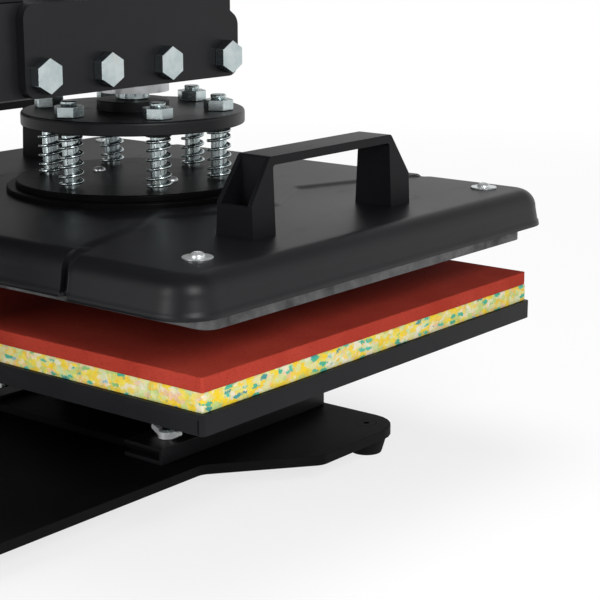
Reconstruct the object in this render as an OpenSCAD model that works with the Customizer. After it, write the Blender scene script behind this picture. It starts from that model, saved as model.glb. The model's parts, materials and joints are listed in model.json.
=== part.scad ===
// Tabletop printing press: swing-away arm, sprung heated platen, padded lower platen.
// The press axis stands at X = 0. Front is -Y, the column is behind at +Y, the floor is Z = 0.

/* [Base] */
// Width of the front of the base plate
base_w = 300; // [270:1:340]
// Width of the neck that runs back to the column
base_neck_w = 212; // [180:1:250]
// Thickness of the base plate
base_t = 6; // [4:0.5:10]
// Reach of the base plate in front of the press axis
base_front = 79; // [70:1:130]
// Where the wide front ends, behind the press axis
base_shoulder = 3; // [0:1:20]
// Where the neck begins, behind the press axis
base_neck = 59; // [40:1:90]
// Reach of the base plate behind the column axis
base_tail = 60; // [56:1:90]
// Corner radius of the base plate
base_r = 22; // [6:1:30]
// Height of a rubber foot
foot_h = 12; // [8:0.5:20]
// Diameter of a foot under the plate
foot_d = 26; // [20:0.5:32]
// Diameter of a foot on the floor
foot_tip_d = 19; // [14:0.5:24]
// Distance from the plate's edges to a foot's axis
foot_inset = 17; // [15:0.5:24]
// Thread of the foot screws
foot_screw_d = 6; // [4:0.5:8]

/* [Rails and stand] */
// Distance over the outer faces of the two rails
rail_span = 180; // [150:1:200]
// Length of a rail
rail_len = 150; // [120:1:150]
// Height of a rail
rail_h = 10; // [9:0.5:16]
// Width of a rail's flanges
rail_flange = 30; // [28:1:36]
// Sheet thickness of a rail
rail_t = 2.5; // [1.5:0.1:3]
// Gap between the slide plate and the rails
slide_gap = 0.3; // [0.2:0.05:0.6]
// Travel of the lower platen along its rails
slide_travel = 60; // [20:1:70]
// Distance from a rail's rear end to its clamp stud
clamp_end = 18; // [16:1:30]
// Distance from a rail's outer face to its clamp stud
clamp_side = 13; // [11:0.5:16]
// Thread of the clamp studs
stud_d = 6; // [5:0.5:8]
// Span over the wings of a wing nut
wing_span = 24; // [22:1:32]
// Height from the base plate to the lower platen
stand_h = 58.7; // [50:0.1:80]
// Width of the stand's post
post_w = 90; // [60:1:110]
// Depth of the stand's post
post_d = 50; // [40:1:80]
// Wall of the stand's post
post_t = 3; // [2:0.5:5]
// Width of the plate on top of the post
head_w = 200; // [130:1:240]
// Depth of the plate on top of the post
head_d = 120; // [100:1:200]
// Thickness of the plate on top of the post
head_t = 4; // [3:0.5:6]

/* [Lower platen] */
// Width of the silicone pad
pad_w = 380; // [350:1:420]
// Depth of the silicone pad
pad_d = 300; // [260:1:320]
// Thickness of the silicone pad
pad_t = 8; // [5:0.5:12]
// Thickness of the foam pad under it
foam_t = 10.3; // [6:0.1:14]
// Thickness of the lower plate
plate_t = 11; // [8:0.5:16]
// Sheet thickness of the lower plate
tray_t = 3; // [2:0.5:4]
// How far the lower plate stands out past the pad
plate_lip = 2.2; // [0.5:0.1:4]

/* [Heated platen] */
// Open gap between the pad and the heater plate
open_gap = 22; // [15:0.5:40]
// Gap that is left over the pad when the lever is down
shut_gap = 0.5; // [0.4:0.1:2]
// Width of the heater plate
heater_w = 380; // [350:1:384]
// Depth of the heater plate
heater_d = 290; // [260:1:310]
// Thickness of the heater plate
heater_t = 12; // [10:0.5:14]
// Corner radius of the heater plate
heater_r = 8; // [3:0.5:16]
// Height of the heater plate's edge that shows below the cover
heater_show = 8; // [4:0.5:9]
// Diameter of the tubular heating element
element_d = 6.5; // [4:0.5:7]
// Thickness of the insulation board
board_t = 4; // [2:0.5:5]
// Width of the cover
cover_w = 396; // [392:1:430]
// Depth of the cover
cover_d = 334; // [326:1:360]
// Height of the cover at its corners
cover_h = 21.5; // [21.5:0.5:28]
// Wall of the cover
cover_wall = 2.5; // [1.5:0.1:3]
// Corner radius of the cover
cover_r = 22; // [18:1:30]
// Radius of the cover's top edge
cover_edge = 11; // [5:0.5:12]
// Draft of the cover's walls over their height
cover_draft = 2.5; // [0.5:0.1:4]
// Height of the raised middle panel above the corners
panel_h = 1.5; // [0.5:0.1:3]
// Set-back of the middle panel's end walls
panel_back = 3.5; // [2:0.1:5]
// Width of the middle panel at the cover's edge
panel_edge_w = 226; // [200:1:260]
// Width of the middle panel at its waist
panel_waist_w = 156; // [150:1:190]
// Width of the middle panel beside the discs
panel_mid_w = 208; // [190:1:220]
// Distance of a cover screw from the heater plate's side
cover_screw_side = 25; // [16:1:30]
// Distance of a cover screw from the heater plate's end, before the shift
cover_screw_end = 13.5; // [13:0.5:30]
// How far the cover screws are shifted to the front
cover_screw_shift = 7; // [0:0.5:7]
// Thread of the cover screws
cover_screw_d = 4; // [3:0.5:5]
// Diameter of a cover screw's washer
cover_washer_d = 16; // [12:0.5:18]
// Distance from the cover's side to a handle's middle
handle_in = 53; // [40:0.5:58]
// How far a handle's middle lies behind the press axis
handle_shift = 2.5; // [0:0.5:6]
// Length of a handle
handle_len = 142; // [110:1:150]
// Width of a handle at its feet
handle_w = 26; // [20:0.5:30]
// Lean of a handle's two sides, foot to grip
handle_draft = 2; // [0:0.5:3]
// Height of a handle
handle_h = 42; // [38:0.5:60]
// Length of a handle's foot
handle_foot = 18.5; // [16:0.5:26]
// Thickness of a handle's grip
handle_bar = 4.8; // [4:0.1:12]
// Wall of a handle
handle_wall = 3; // [2:0.5:4]
// Height of the screw pocket's floor in a handle
handle_floor = 12.5; // [8:0.5:16]
// Rim of the screw pocket over its floor
handle_rim = 4.5; // [2:0.5:6]

/* [Spring head] */
// Diameter of the lower disc
lower_disc_d = 156; // [150:1:170]
// Thickness of the lower disc
lower_disc_t = 3.6; // [2:0.1:6]
// Diameter of the upper disc
upper_disc_d = 145; // [135:1:150]
// Thickness of the upper disc
upper_disc_t = 3.7; // [2:0.1:6]
// Radius of the circle of spring bolts
bolt_ring_r = 53; // [48:0.5:58]
// Number of spring bolts
bolt_count = 6; // [4:1:8]
// Thread of the spring bolts
bolt_d = 9.6; // [8:0.2:9.8]
// Outer diameter of a spring
spring_od = 15; // [14.6:0.1:16]
// Wire of a spring
spring_wire = 1.9; // [1.4:0.1:2.1]
// Length of a spring as fitted
spring_len = 31; // [28:0.5:40]
// Open turns of a spring between its two closed end turns
spring_turns = 4; // [3:1:5]
// Pitch of a spring's end turns
spring_end_pitch = 3.2; // [2.7:0.1:3.6]
// Height of the collar over a spring
collar_h = 2.2; // [1.5:0.1:4]
// Diameter of the spring flange
flange_d = 136; // [132:1:150]
// Thickness of the spring flange
flange_t = 8; // [6:0.5:12]
// Float of the heated platen against its springs
float_travel = 6; // [2:0.5:8]
// Distance of a disc screw from the press axis
disc_screw_r = 31; // [26:0.5:38]

/* [Spindle and crosshead] */
// Thread of the pressure spindle
spindle_d = 20; // [18:0.5:24]
// Travel of the pressure adjustment each way
adjust_travel = 3; // [1:0.5:4]
// Diameter of the ram
ram_d = 44; // [38:0.5:46]
// Wall of the guide bush
bush_wall = 5; // [3:0.5:6]
// Running clearance of shafts, on the radius
run_gap = 0.05; // [0.03:0.01:0.1]
// Width of the crosshead
cross_w = 74; // [68:1:76]
// Depth of the crosshead
cross_d = 44; // [40:1:50]
// Height of the crosshead
cross_h = 30; // [26:1:40]
// Diameter of the pressure knob
knob_d = 56; // [44:1:60]
// Height of the pressure knob
knob_h = 30; // [20:1:34]

/* [Lever] */
// Swing of the lever from open to shut
lever_swing = 70; // [60:1:74]
// Rise of the lever above level when it is open
lever_rise = 80; // [76:1:86]
// Length of the lever from its pivot
lever_len = 240; // [220:1:300]
// Length of the lever's fork
fork_len = 112; // [108:1:120]
// Sheet thickness of the fork plates
fork_t = 6; // [4:0.5:8]
// Diameter of the crank pins
crank_d = 12; // [10:0.5:13]
// Diameter of the pivot bolts
pivot_d = 14; // [10:0.5:16]
// Clearance of a crank pin in its slot, above and below
slot_gap = 0.5; // [0.4:0.05:0.8]
// Diameter of the lever's bar
bar_d = 18; // [14:0.5:20]
// Diameter of the grip
grip_d = 32; // [28:0.5:36]
// Length of the grip
grip_len = 104; // [80:1:104]

/* [Arm and column] */
// Distance from the press axis to the column axis
column_back = 240; // [236:1:280]
// Diameter of the column
column_d = 50; // [42:1:54]
// Wall of the column
column_wall = 4; // [2.5:0.5:6]
// Wall of the swing sleeve
sleeve_wall = 10; // [6:0.5:12]
// Height of the arm's beam and of the guide housing
beam_h = 50; // [44:1:60]
// Wall of the arm's beam
beam_wall = 4; // [3:0.5:6]
// Sheet thickness of the cheeks
cheek_t = 6; // [5:0.5:10]
// Gap for a washer between a cheek and a fork plate
washer_t = 2; // [1.5:0.1:3]
// Reach of the cheeks behind the guide housing
cheek_reach = 94; // [80:1:100]
// Thread of the cheek bolts
cheek_bolt_d = 10; // [8:0.5:12]
// Height of the collar under the sleeve
stop_h = 16; // [12:1:20]

/* [Control box] */
// Width of the control box
box_w = 140; // [130:1:170]
// Depth of the control box at its foot
box_d = 100; // [96:1:102]
// Height of the control box
box_h = 105; // [100:1:130]
// Height of the upright front edge below the sloping face
box_lip = 28; // [15:1:30]
// Depth of the flat top
box_top_d = 58; // [50:1:66]
// Sheet thickness of the control box
box_t = 2; // [1.5:0.1:3]
// Diameter of a key
key_d = 13; // [10:0.5:15]
// Travel of a key
key_travel = 1.2; // [0.5:0.1:2]
// Distance between the keys
key_pitch = 24; // [22:0.5:28]

/* [Hidden] */
$fn = 48;

cut = 1;
hole_gap = 0.2;
steel_black = [0.07, 0.07, 0.075];
plastic_black = [0.05, 0.05, 0.055];
zinc = [0.72, 0.74, 0.76];
alloy = [0.55, 0.56, 0.57];
bronze = [0.62, 0.47, 0.25];

// Heights, from the floor up
base_top = foot_h + base_t;
rail_top = base_top + rail_h;
slide_t = rail_h - 2 * rail_t - 2 * slide_gap;
slide_z = base_top + rail_t + slide_gap;
slide_in = 6;
plate_z = base_top + stand_h;
foam_z = plate_z + plate_t;
pad_z = foam_z + foam_t;
pad_top = pad_z + pad_t;
heater_z = pad_top + open_gap;
cover_z = heater_z + heater_show;
cover_top = cover_z + cover_h;
panel_top = cover_top + panel_h;
lower_disc_z = panel_top;
upper_disc_z = lower_disc_z + lower_disc_t;
spring_z = upper_disc_z + upper_disc_t;
collar_z = spring_z + spring_len;
flange_z = collar_z + collar_h;
flange_top = flange_z + flange_t;

// Places in plan
mid_y = (column_back + base_tail - cover_d / 2) / 2;
base_rear = column_back + base_tail;
foot_rear_x = base_neck_w / 2 - foot_inset;
clamp_x = rail_span / 2 - clamp_side;
clamp_y = rail_len / 2 - clamp_end;
cover_screw_x = heater_w / 2 - cover_screw_side;
cover_screw_y = heater_d / 2 - cover_screw_end;
handle_x = cover_w / 2 - handle_in;

// Spring head
bolt_nut_h = 6.5;
bolt_nut_af = bolt_d + 6.4;
bolt_proud = 3;
seat_gap = 0.2;
bolt_top = flange_top + seat_gap + bolt_nut_h + bolt_proud;
spring_r = (spring_od - spring_wire) / 2;
spring_pitch = (spring_len - spring_wire - 2 * spring_end_pitch) / spring_turns;
spring_rings = 8;
spring_sides = 6;
hub_d = ram_d;
hub_h = 6;
journal_d = spindle_d - 4;
keeper_d = spindle_d + 6;
keeper_h = 4;

// Arm, crosshead and lever
arm_gap = 2;
arm_z = bolt_top + float_travel + adjust_travel + arm_gap;
arm_top = arm_z + beam_h;
bush_flange_t = 3;
bush_flange_d = ram_d + 2 * bush_wall + 8;
stroke = open_gap - shut_gap;
cross_z = arm_top + bush_flange_t + stroke + arm_gap;
cross_top = cross_z + cross_h;
ram_z = flange_top + hub_h + adjust_travel + arm_gap;
crank_angle = lever_swing / 2;
crank_r = stroke / (2 * sin(crank_angle));
pivot_y = crank_r * (1 + cos(crank_angle)) / 2;
pivot_z = cross_z + cross_h / 2 - crank_r * sin(crank_angle);
fork_gap = 1;
fork_in = cross_w / 2 + fork_gap;
cheek_in = fork_in + fork_t + washer_t;
crank_in = 9;
slot_in = fork_in - crank_in - 1;
slot_d = crank_d + 2 * slot_gap;
slot_run = crank_r * (1 - cos(crank_angle)) + 2 * slot_gap;
eye_r = 16;
knob_z = cross_top + adjust_travel + arm_gap + 3;
housing_wall = 11;
housing_d = ram_d + 2 * (bush_wall + housing_wall);
beam_y = housing_d / 2;
cheek_rear = beam_y + cheek_reach;
sleeve_d = column_d + 2 * sleeve_wall;
sleeve_z = arm_z - 8;
sleeve_top = arm_top + 12;
stop_gap = 0.3;
bracket_t = 3;
bracket_lap = 10;
shelf_z = sleeve_top + bracket_t;

// Control box, in its own Y and Z
box_y = column_back - box_d / 2 - 5;
slope_run = box_d - box_top_d;
slope_rise = box_h - box_lip;
slope_len = norm([slope_run, slope_rise]);
slope_angle = atan2(slope_rise, slope_run);
fascia_t = 2.5;
fascia_w = box_w - 16;
fascia_l = slope_len - 12;
window_w = 64;
window_l = 26;
window_at = (fascia_l - window_l) / 2 - 10;
key_up_l = -20;
key_proud = key_travel + 1.8;
key_collar = 1;
rocker_w = 14;
rocker_l = 24;
rocker_axis = 3.5;
rocker_pin_d = 2.4;
rocker_lug_t = 2;
rocker_lug_in = rocker_w / 2 + 0.5;
inlet_w = 27;
inlet_l = 20;
gland_d = 16;
gland_hex = 20;
gland_nut = 6;
gland_len = 18;
gland_seat_d = 26;

echo(str("least gap of a spring to itself, mm: ", spring_self_gap()));

// Corner at b between a and c, rounded by an arc of radius r
function unit(v) = v / norm(v);
function near_turn(d) = d - 360 * round(d / 360);
function corner_arc(a, b, c, r, n = 6) =
    let (
        u = unit(a - b),
        v = unit(c - b),
        half = acos(u * v) / 2,
        o = b + unit(u + v) * r / sin(half),
        s = b + u * r / tan(half) - o,
        e = b + v * r / tan(half) - o,
        start = atan2(s[1], s[0]),
        sweep = near_turn(atan2(e[1], e[0]) - start)
    )
    [for (i = [0 : n]) o + r * [cos(start + sweep * i / n), sin(start + sweep * i / n)]];

// Outline with each corner rounded by its own radius
function rounded(pts, radii) =
    let (n = len(pts))
    [for (i = [0 : n - 1]) each
        radii[i] > 0 ? corner_arc(pts[(i + n - 1) % n], pts[i], pts[(i + 1) % n], radii[i]) : [pts[i]]];

// Outline of half an object and its mirror image across X = 0
function both_sides(half) = concat(half, [for (i = [len(half) - 1 : -1 : 0]) [-half[i][0], half[i][1]]]);
function both_radii(half) = concat(half, [for (i = [len(half) - 1 : -1 : 0]) half[i]]);

// Every piece is drawn about the press axis and set back to the middle of the footprint
module placed() { translate([0, -mid_y, 0]) children(); }
module four(x, y) { for (sx = [-1, 1], sy = [-1, 1]) translate([sx * x, sy * y, 0]) children(); }
module twin(x) { for (sx = [-1, 1]) translate([sx * x, 0, 0]) children(); }
module ring_of(n, r, start = 90) {
    for (i = [0 : n - 1]) rotate(start + 360 / n * i) translate([r, 0, 0]) children();
}
module block(x, y, z) { translate([-x / 2, -y / 2, 0]) cube([x, y, z]); }

// Plate whose outline lies in Y and Z, from x along +X
module across(x, t) { translate([x, 0, 0]) rotate([90, 0, 90]) linear_extrude(t) children(); }
module pin_x(x, l, d) { translate([x, 0, 0]) rotate([0, 90, 0]) cylinder(h = l, d = d); }
module pin_y(y, l, d) { translate([0, y, 0]) rotate([-90, 0, 0]) cylinder(h = l, d = d); }
module hex(across_flats, h) { cylinder(h = h, d = across_flats / cos(30), $fn = 6); }

// Pan head screw standing on Z = 0, with its shank below
module pan_screw(d, l) {
    rotate_extrude() polygon(concat([[0, -l], [d / 2, -l], [d / 2, 0], [d, 0]],
        [for (a = [15 : 15 : 90]) [d * cos(a), d * 0.62 * sin(a)]]));
}

// Countersunk head below Z = 0, drawn past it by rise
module flush_head(d, rise) {
    translate([0, 0, -d / 2]) cylinder(h = d / 2 + rise, d1 = d, d2 = 2 * (d + rise));
}
module hex_bolt(d, l) {
    hex(d * 1.7, d * 0.65);
    translate([0, 0, -l]) cylinder(h = l, d = d);
}

// Base, feet and rails
module base_outline() {
    half = [
        [base_w / 2, -base_front], [base_w / 2, base_shoulder],
        [base_neck_w / 2, base_neck], [base_neck_w / 2, base_rear]
    ];
    polygon(rounded(both_sides(half), both_radii([base_r, base_r / 2, base_r / 2, base_r])));
}
module at_feet() {
    twin(base_w / 2 - foot_inset) translate([0, foot_inset - base_front, 0]) children();
    twin(foot_rear_x) translate([0, base_rear - foot_inset, 0]) children();
}
column_bolt_in = 16;
column_foot_rim = 26;
column_bolt_r = column_d / 2 + column_bolt_in;
column_foot_d = column_d + 2 * column_foot_rim;
column_foot_t = 8;
column_bolt_d = 8;
module at_column_bolts() { ring_of(4, column_bolt_r, 45) children(); }
module base_plate() {
    color(steel_black) placed() difference() {
        translate([0, 0, foot_h]) linear_extrude(base_t) base_outline();
        at_feet() {
            translate([0, 0, foot_h - cut]) cylinder(h = base_t + 2 * cut, d = foot_screw_d + hole_gap);
            translate([0, 0, base_top]) flush_head(foot_screw_d + hole_gap, hole_gap);
        }
        translate([0, column_back, foot_h - cut]) at_column_bolts()
            cylinder(h = base_t + 2 * cut, d = column_bolt_d + hole_gap);
    }
}
module rubber_feet() {
    color([0.04, 0.04, 0.04]) placed() at_feet() difference() {
        cylinder(h = foot_h, d1 = foot_tip_d, d2 = foot_d);
        translate([0, 0, foot_h / 2]) cylinder(h = foot_h, d = foot_screw_d + hole_gap);
    }
}
module foot_screws() {
    color(steel_black) placed() at_feet() translate([0, 0, base_top]) difference() {
        union() {
            flush_head(foot_screw_d, 0);
            translate([0, 0, -base_t - foot_h / 2]) cylinder(h = base_t + foot_h / 2, d = foot_screw_d);
        }
        translate([0, 0, -foot_screw_d * 0.4]) hex(foot_screw_d * 0.62, foot_screw_d);
    }
}
module rail() {
    edge = rail_span / 2;
    difference() {
        translate([0, rail_len / 2, base_top]) rotate([90, 0, 0]) linear_extrude(rail_len) polygon([
            [edge, 0], [edge, rail_h], [edge - rail_flange, rail_h],
            [edge - rail_flange, rail_h - rail_t], [edge - rail_t, rail_h - rail_t],
            [edge - rail_t, rail_t], [edge - rail_flange, rail_t],
            [edge - rail_flange, 0]
        ]);
        slot_w = stud_d + 1;
        translate([clamp_x, clamp_y, rail_top - rail_t - cut]) {
            cylinder(h = rail_t + 2 * cut, d = slot_w);
            translate([0, -slide_travel, 0]) cylinder(h = rail_t + 2 * cut, d = slot_w);
            translate([-slot_w / 2, -slide_travel, 0]) cube([slot_w, slide_travel, rail_t + 2 * cut]);
        }
    }
}
module rail_left() { color(steel_black) placed() mirror([1, 0, 0]) rail(); }
module rail_right() { color(steel_black) placed() rail(); }

// Column with its welded foot, its bolts and the collar that carries the arm
module column() {
    column_h = sleeve_top - arm_gap - base_top;
    color(steel_black) placed() translate([0, column_back, base_top]) difference() {
        union() {
            cylinder(h = column_h, d = column_d);
            cylinder(h = column_foot_t, d = column_foot_d);
        }
        translate([0, 0, column_foot_t]) cylinder(h = column_h, d = column_d - 2 * column_wall);
        at_column_bolts() translate([0, 0, -cut])
            cylinder(h = column_foot_t + 2 * cut, d = column_bolt_d + hole_gap);
    }
}
module column_bolts() {
    color(zinc) placed() translate([0, column_back, base_top + column_foot_t]) at_column_bolts()
        hex_bolt(column_bolt_d, column_foot_t + base_t);
}
module stop_collar() {
    color(steel_black) placed() translate([0, column_back, sleeve_z - stop_gap - stop_h]) difference() {
        cylinder(h = stop_h, d = sleeve_d);
        translate([0, 0, -cut]) cylinder(h = stop_h + 2 * cut, d = column_d + 2 * run_gap);
    }
}

// Lower platen: a stand that slides in the rails, clamped by two wing nuts
module platen_stand() {
    slide_w = rail_span - 2 * rail_t - 2 * slide_gap;
    post_z = slide_z + slide_t;
    head_z = plate_z + plate_t - tray_t - head_t;
    color(steel_black) placed() {
        difference() {
            union() {
                translate([0, 0, slide_z]) block(slide_w, rail_len - 2 * slide_in, slide_t);
                translate([0, 0, head_z]) block(head_w, head_d, head_t);
                translate([0, 0, post_z]) block(post_w, post_d, head_z - post_z);
            }
            translate([0, 0, slide_z - cut])
                block(post_w - 2 * post_t, post_d - 2 * post_t, head_z - slide_z + cut);
            twin(clamp_x) translate([0, clamp_y, slide_z - cut])
                cylinder(h = slide_t + 2 * cut, d = stud_d + 2 * run_gap);
        }
    }
}
wing_seat = rail_top + seat_gap;
wing_hub_h = stud_d * 0.65;
stud_rise = 1.4;
module clamp_studs() {
    color(zinc) placed() twin(clamp_x) translate([0, clamp_y, slide_z])
        cylinder(h = wing_seat + wing_hub_h + stud_rise - slide_z, d = stud_d);
}
module wing_nut() {
    reach = wing_span / 2;
    rise = wing_span / 4;
    hub_r = stud_d * 0.85;
    wing_t = 3.2;
    wing_in = stud_d / 2 + 0.6;
    difference() {
        union() {
            cylinder(h = wing_hub_h, r1 = hub_r, r2 = hub_r * 0.9);
            for (a = [0, 180]) rotate(a) rotate([90, 0, 0]) translate([0, 0, -wing_t / 2])
                linear_extrude(wing_t) polygon(rounded([
                    [wing_in, 0.3], [hub_r + 1, 0.3], [reach, rise * 0.58], [reach - 1, rise],
                    [reach - 4, rise * 0.86], [wing_in, wing_hub_h - 0.5]
                ], [0, 1, 1.2, 1, 1, 0]));
        }
        translate([0, 0, -cut]) cylinder(h = wing_hub_h + 2 * cut, d = stud_d + 2 * run_gap);
    }
}
wing_turn = 5;
module wing_nut_left() {
    color(zinc) placed() translate([-clamp_x, clamp_y, wing_seat]) rotate(-wing_turn) wing_nut();
}
module wing_nut_right() {
    color(zinc) placed() translate([clamp_x, clamp_y, wing_seat]) rotate(wing_turn) wing_nut();
}
module rounded_sheet(w, d, t, r) {
    linear_extrude(t) polygon(rounded(
        [[w / 2, -d / 2], [w / 2, d / 2], [-w / 2, d / 2], [-w / 2, -d / 2]], [r, r, r, r]));
}
// The folded walls of the tray meet at open seams beside its corners
seam_w = 0.8;
module lower_plate() {
    tray_w = pad_w + 2 * plate_lip;
    tray_d = pad_d + 2 * plate_lip;
    color(steel_black) placed() translate([0, 0, plate_z]) difference() {
        rounded_sheet(tray_w, tray_d, plate_t, 2);
        translate([0, 0, -tray_t]) rounded_sheet(tray_w - 2 * tray_t, tray_d - 2 * tray_t, plate_t, 1);
        four(tray_w / 2 - tray_t - seam_w / 2, tray_d / 2) translate([0, 0, -tray_t])
            block(seam_w, 3 * tray_t, plate_t);
    }
}
module foam_pad() {
    color([0.9, 0.8, 0.4]) placed() translate([0, 0, foam_z]) rounded_sheet(pad_w, pad_d, foam_t, 1);
}
module silicone_pad() {
    color([0.7, 0.2, 0.15]) placed() translate([0, 0, pad_z]) rounded_sheet(pad_w, pad_d, pad_t, 1);
}

// Swing arm: sleeve, beam, cheeks and the guide of the ram
module swing_sleeve() {
    color(steel_black) placed() translate([0, column_back, sleeve_z]) difference() {
        cylinder(h = sleeve_top - sleeve_z, d = sleeve_d);
        translate([0, 0, -cut]) cylinder(h = sleeve_top - sleeve_z + 2 * cut, d = column_d + 2 * run_gap);
    }
}
module arm_beam() {
    beam_l = column_back - beam_y;
    color(steel_black) placed() difference() {
        translate([-cheek_in, beam_y, arm_z]) cube([2 * cheek_in, beam_l, beam_h]);
        translate([-cheek_in + beam_wall, beam_y - cut, arm_z + beam_wall])
            cube([2 * (cheek_in - beam_wall), beam_l + 2 * cut, beam_h - 2 * beam_wall]);
        translate([0, column_back, arm_z - cut]) cylinder(h = beam_h + 2 * cut, d = sleeve_d + 2 * run_gap);
        at_cheek_bolts() translate([0, 0, -cheek_t - 2 * beam_wall])
            cylinder(h = cheek_t + 2 * beam_wall, d = cheek_bolt_d + hole_gap);
    }
}
bolt_near = 12;
housing_bolt_y = housing_d / 2 - bolt_near;
cheek_bolt_in = 9;
module at_cheek_bolts() {
    rows = [-housing_bolt_y, housing_bolt_y, beam_y + 3 * bolt_near, cheek_rear - bolt_near];
    for (y = rows, sx = [-1, 1])
        translate([sx * (cheek_in + cheek_t), y, arm_z + bolt_near]) rotate([0, sx * 90, 0]) children();
}
module cheek_outline() {
    ear = [pivot_y, pivot_z];
    front = -housing_d / 2;
    difference() {
        union() {
            polygon(rounded([
                [front, arm_z], [cheek_rear, arm_z], [cheek_rear, arm_top],
                [pivot_y + 2 * eye_r, arm_top], ear + [eye_r, 0], ear - [eye_r, 0],
                [pivot_y - 2 * eye_r, arm_top], [front, arm_top - eye_r]
            ], [8, 8, 8, 12, 0, 0, 12, 8]));
            translate(ear) circle(r = eye_r);
        }
        translate(ear) circle(d = pivot_d + 2 * run_gap);
    }
}
module cheek() {
    difference() {
        across(cheek_in, cheek_t) cheek_outline();
        at_cheek_bolts() translate([0, 0, -cheek_t - cut])
            cylinder(h = cheek_t + 2 * cut, d = cheek_bolt_d + hole_gap);
    }
}
module cheek_left() { color(steel_black) placed() mirror([1, 0, 0]) cheek(); }
module cheek_right() { color(steel_black) placed() cheek(); }
module guide_housing() {
    color(steel_black) placed() difference() {
        translate([0, 0, arm_z]) block(2 * cheek_in, housing_d, beam_h);
        translate([0, 0, arm_z - cut])
            cylinder(h = beam_h + 2 * cut, d = ram_d + 2 * bush_wall + 2 * run_gap);
        at_cheek_bolts() translate([0, 0, -cheek_t - cheek_bolt_in])
            cylinder(h = cheek_t + cheek_bolt_in, d = cheek_bolt_d + hole_gap);
    }
}
module guide_bush() {
    color(bronze) placed() translate([0, 0, arm_z]) difference() {
        union() {
            cylinder(h = beam_h, d = ram_d + 2 * bush_wall);
            translate([0, 0, beam_h]) cylinder(h = bush_flange_t, d = bush_flange_d);
        }
        translate([0, 0, -cut]) cylinder(h = beam_h + bush_flange_t + 2 * cut, d = ram_d + 2 * run_gap);
    }
}
module cheek_bolts() {
    color(zinc) placed() at_cheek_bolts() hex_bolt(cheek_bolt_d, cheek_t + cheek_bolt_in - 1);
}
module at_pivot() { translate([0, pivot_y, pivot_z]) children(); }
module pivot_bolts() {
    inner = fork_in + 0.5;
    head_h = 8;
    color(zinc) placed() at_pivot() for (side = [0, 1]) mirror([side, 0, 0]) {
        pin_x(inner, cheek_in + cheek_t - inner, pivot_d);
        translate([cheek_in + cheek_t, 0, 0]) rotate([0, 90, 0]) hex(pivot_d * 1.6, head_h);
    }
}
module pivot_washers() {
    ring_gap = 0.1;
    color(bronze) placed() at_pivot() for (side = [0, 1]) mirror([side, 0, 0]) difference() {
        pin_x(fork_in + fork_t + ring_gap, washer_t - ring_gap, 2 * pivot_d);
        pin_x(fork_in, fork_t + 2 * washer_t, pivot_d + 2 * run_gap);
    }
}

// Control box on its bracket behind the arm
module box_bracket() {
    foot_y = cheek_rear - bracket_lap;
    riser_y = box_y - 4 * bracket_t;
    back_y = box_y + box_d;
    strip_w = box_w * 0.6;
    color(steel_black) placed() across(-strip_w / 2, strip_w) polygon([
        [foot_y, arm_top], [riser_y + bracket_t, arm_top], [riser_y + bracket_t, shelf_z - bracket_t],
        [back_y, shelf_z - bracket_t], [back_y, shelf_z], [riser_y, shelf_z],
        [riser_y, arm_top + bracket_t], [foot_y, arm_top + bracket_t]
    ]);
}
function box_profile(t, past) = let (lean = t / sin(slope_angle), drop = t * tan(slope_angle / 2)) [
    [box_y + t, shelf_z + t],
    [box_y + box_d + past, shelf_z + t],
    [box_y + box_d + past, shelf_z + box_h - t],
    [box_y + slope_run + drop, shelf_z + box_h - t],
    [box_y + t, shelf_z + box_lip - (lean - t) * tan(slope_angle)]
];
module on_slope() {
    translate([0, box_y + slope_run / 2, shelf_z + box_lip + slope_rise / 2]) rotate([slope_angle, 0, 0])
        children();
}
module at_key(column) { on_slope() translate([(column - 1) * key_pitch, key_up_l, 0]) children(); }
module control_box() {
    color(steel_black) placed() difference() {
        across(-box_w / 2, box_w) polygon(box_profile(0, 0));
        across(-box_w / 2 + box_t, box_w - 2 * box_t) polygon(box_profile(box_t, cut));
        for (c = [0 : 2]) at_key(c) translate([0, 0, -box_t - cut])
            cylinder(h = box_t + 2 * cut, d = key_d + 4);
        at_box_gland() pin_x(-2 * box_t, 2 * box_t + cut, gland_d + hole_gap);
    }
}
module box_back() {
    inset = box_t + hole_gap;
    color(steel_black) placed() difference() {
        union() {
            translate([-box_w / 2 + inset, box_y + box_d - box_t, shelf_z + inset])
                cube([box_w - 2 * inset, box_t, box_h - 2 * inset]);
            at_rocker() twin(rocker_lug_in + rocker_lug_t / 2)
                block_y(rocker_lug_t, 3 * rocker_pin_d, 2 * rocker_axis, -box_t / 2);
        }
        at_rocker() translate([0, -rocker_axis, 0])
            pin_x(-2 * rocker_w, 4 * rocker_w, rocker_pin_d + 2 * run_gap);
        at_rocker() block_y(2 * rocker_lug_in, rocker_l + 2.4, 3 * box_t);
        at_inlet() block_y(inlet_w + hole_gap, inlet_l + hole_gap, 3 * box_t);
    }
}
module block_y(x, z, depth, to = 0) {
    end = to < 0 ? to : depth;
    translate([-x / 2, -depth, -z / 2]) cube([x, depth + end, z]);
}
module at_rocker() { translate([-box_w / 4, box_y + box_d, shelf_z + box_h * 0.32]) children(); }
module at_inlet() { translate([box_w / 6, box_y + box_d, shelf_z + box_h * 0.32]) children(); }
module at_box_gland() { translate([box_w / 2, box_y + box_d * 0.7, shelf_z + 22]) children(); }
module fascia() {
    color(plastic_black) placed() on_slope() difference() {
        linear_extrude(fascia_t) polygon(rounded([
            [fascia_w / 2, -fascia_l / 2], [fascia_w / 2, fascia_l / 2],
            [-fascia_w / 2, fascia_l / 2], [-fascia_w / 2, -fascia_l / 2]
        ], [5, 5, 5, 5]));
        translate([0, window_at, fascia_t / 2]) block(window_w, window_l, fascia_t);
        for (c = [0 : 2]) translate([(c - 1) * key_pitch, key_up_l, -cut])
            cylinder(h = fascia_t + 2 * cut, d = key_d + 0.6);
    }
}
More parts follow.
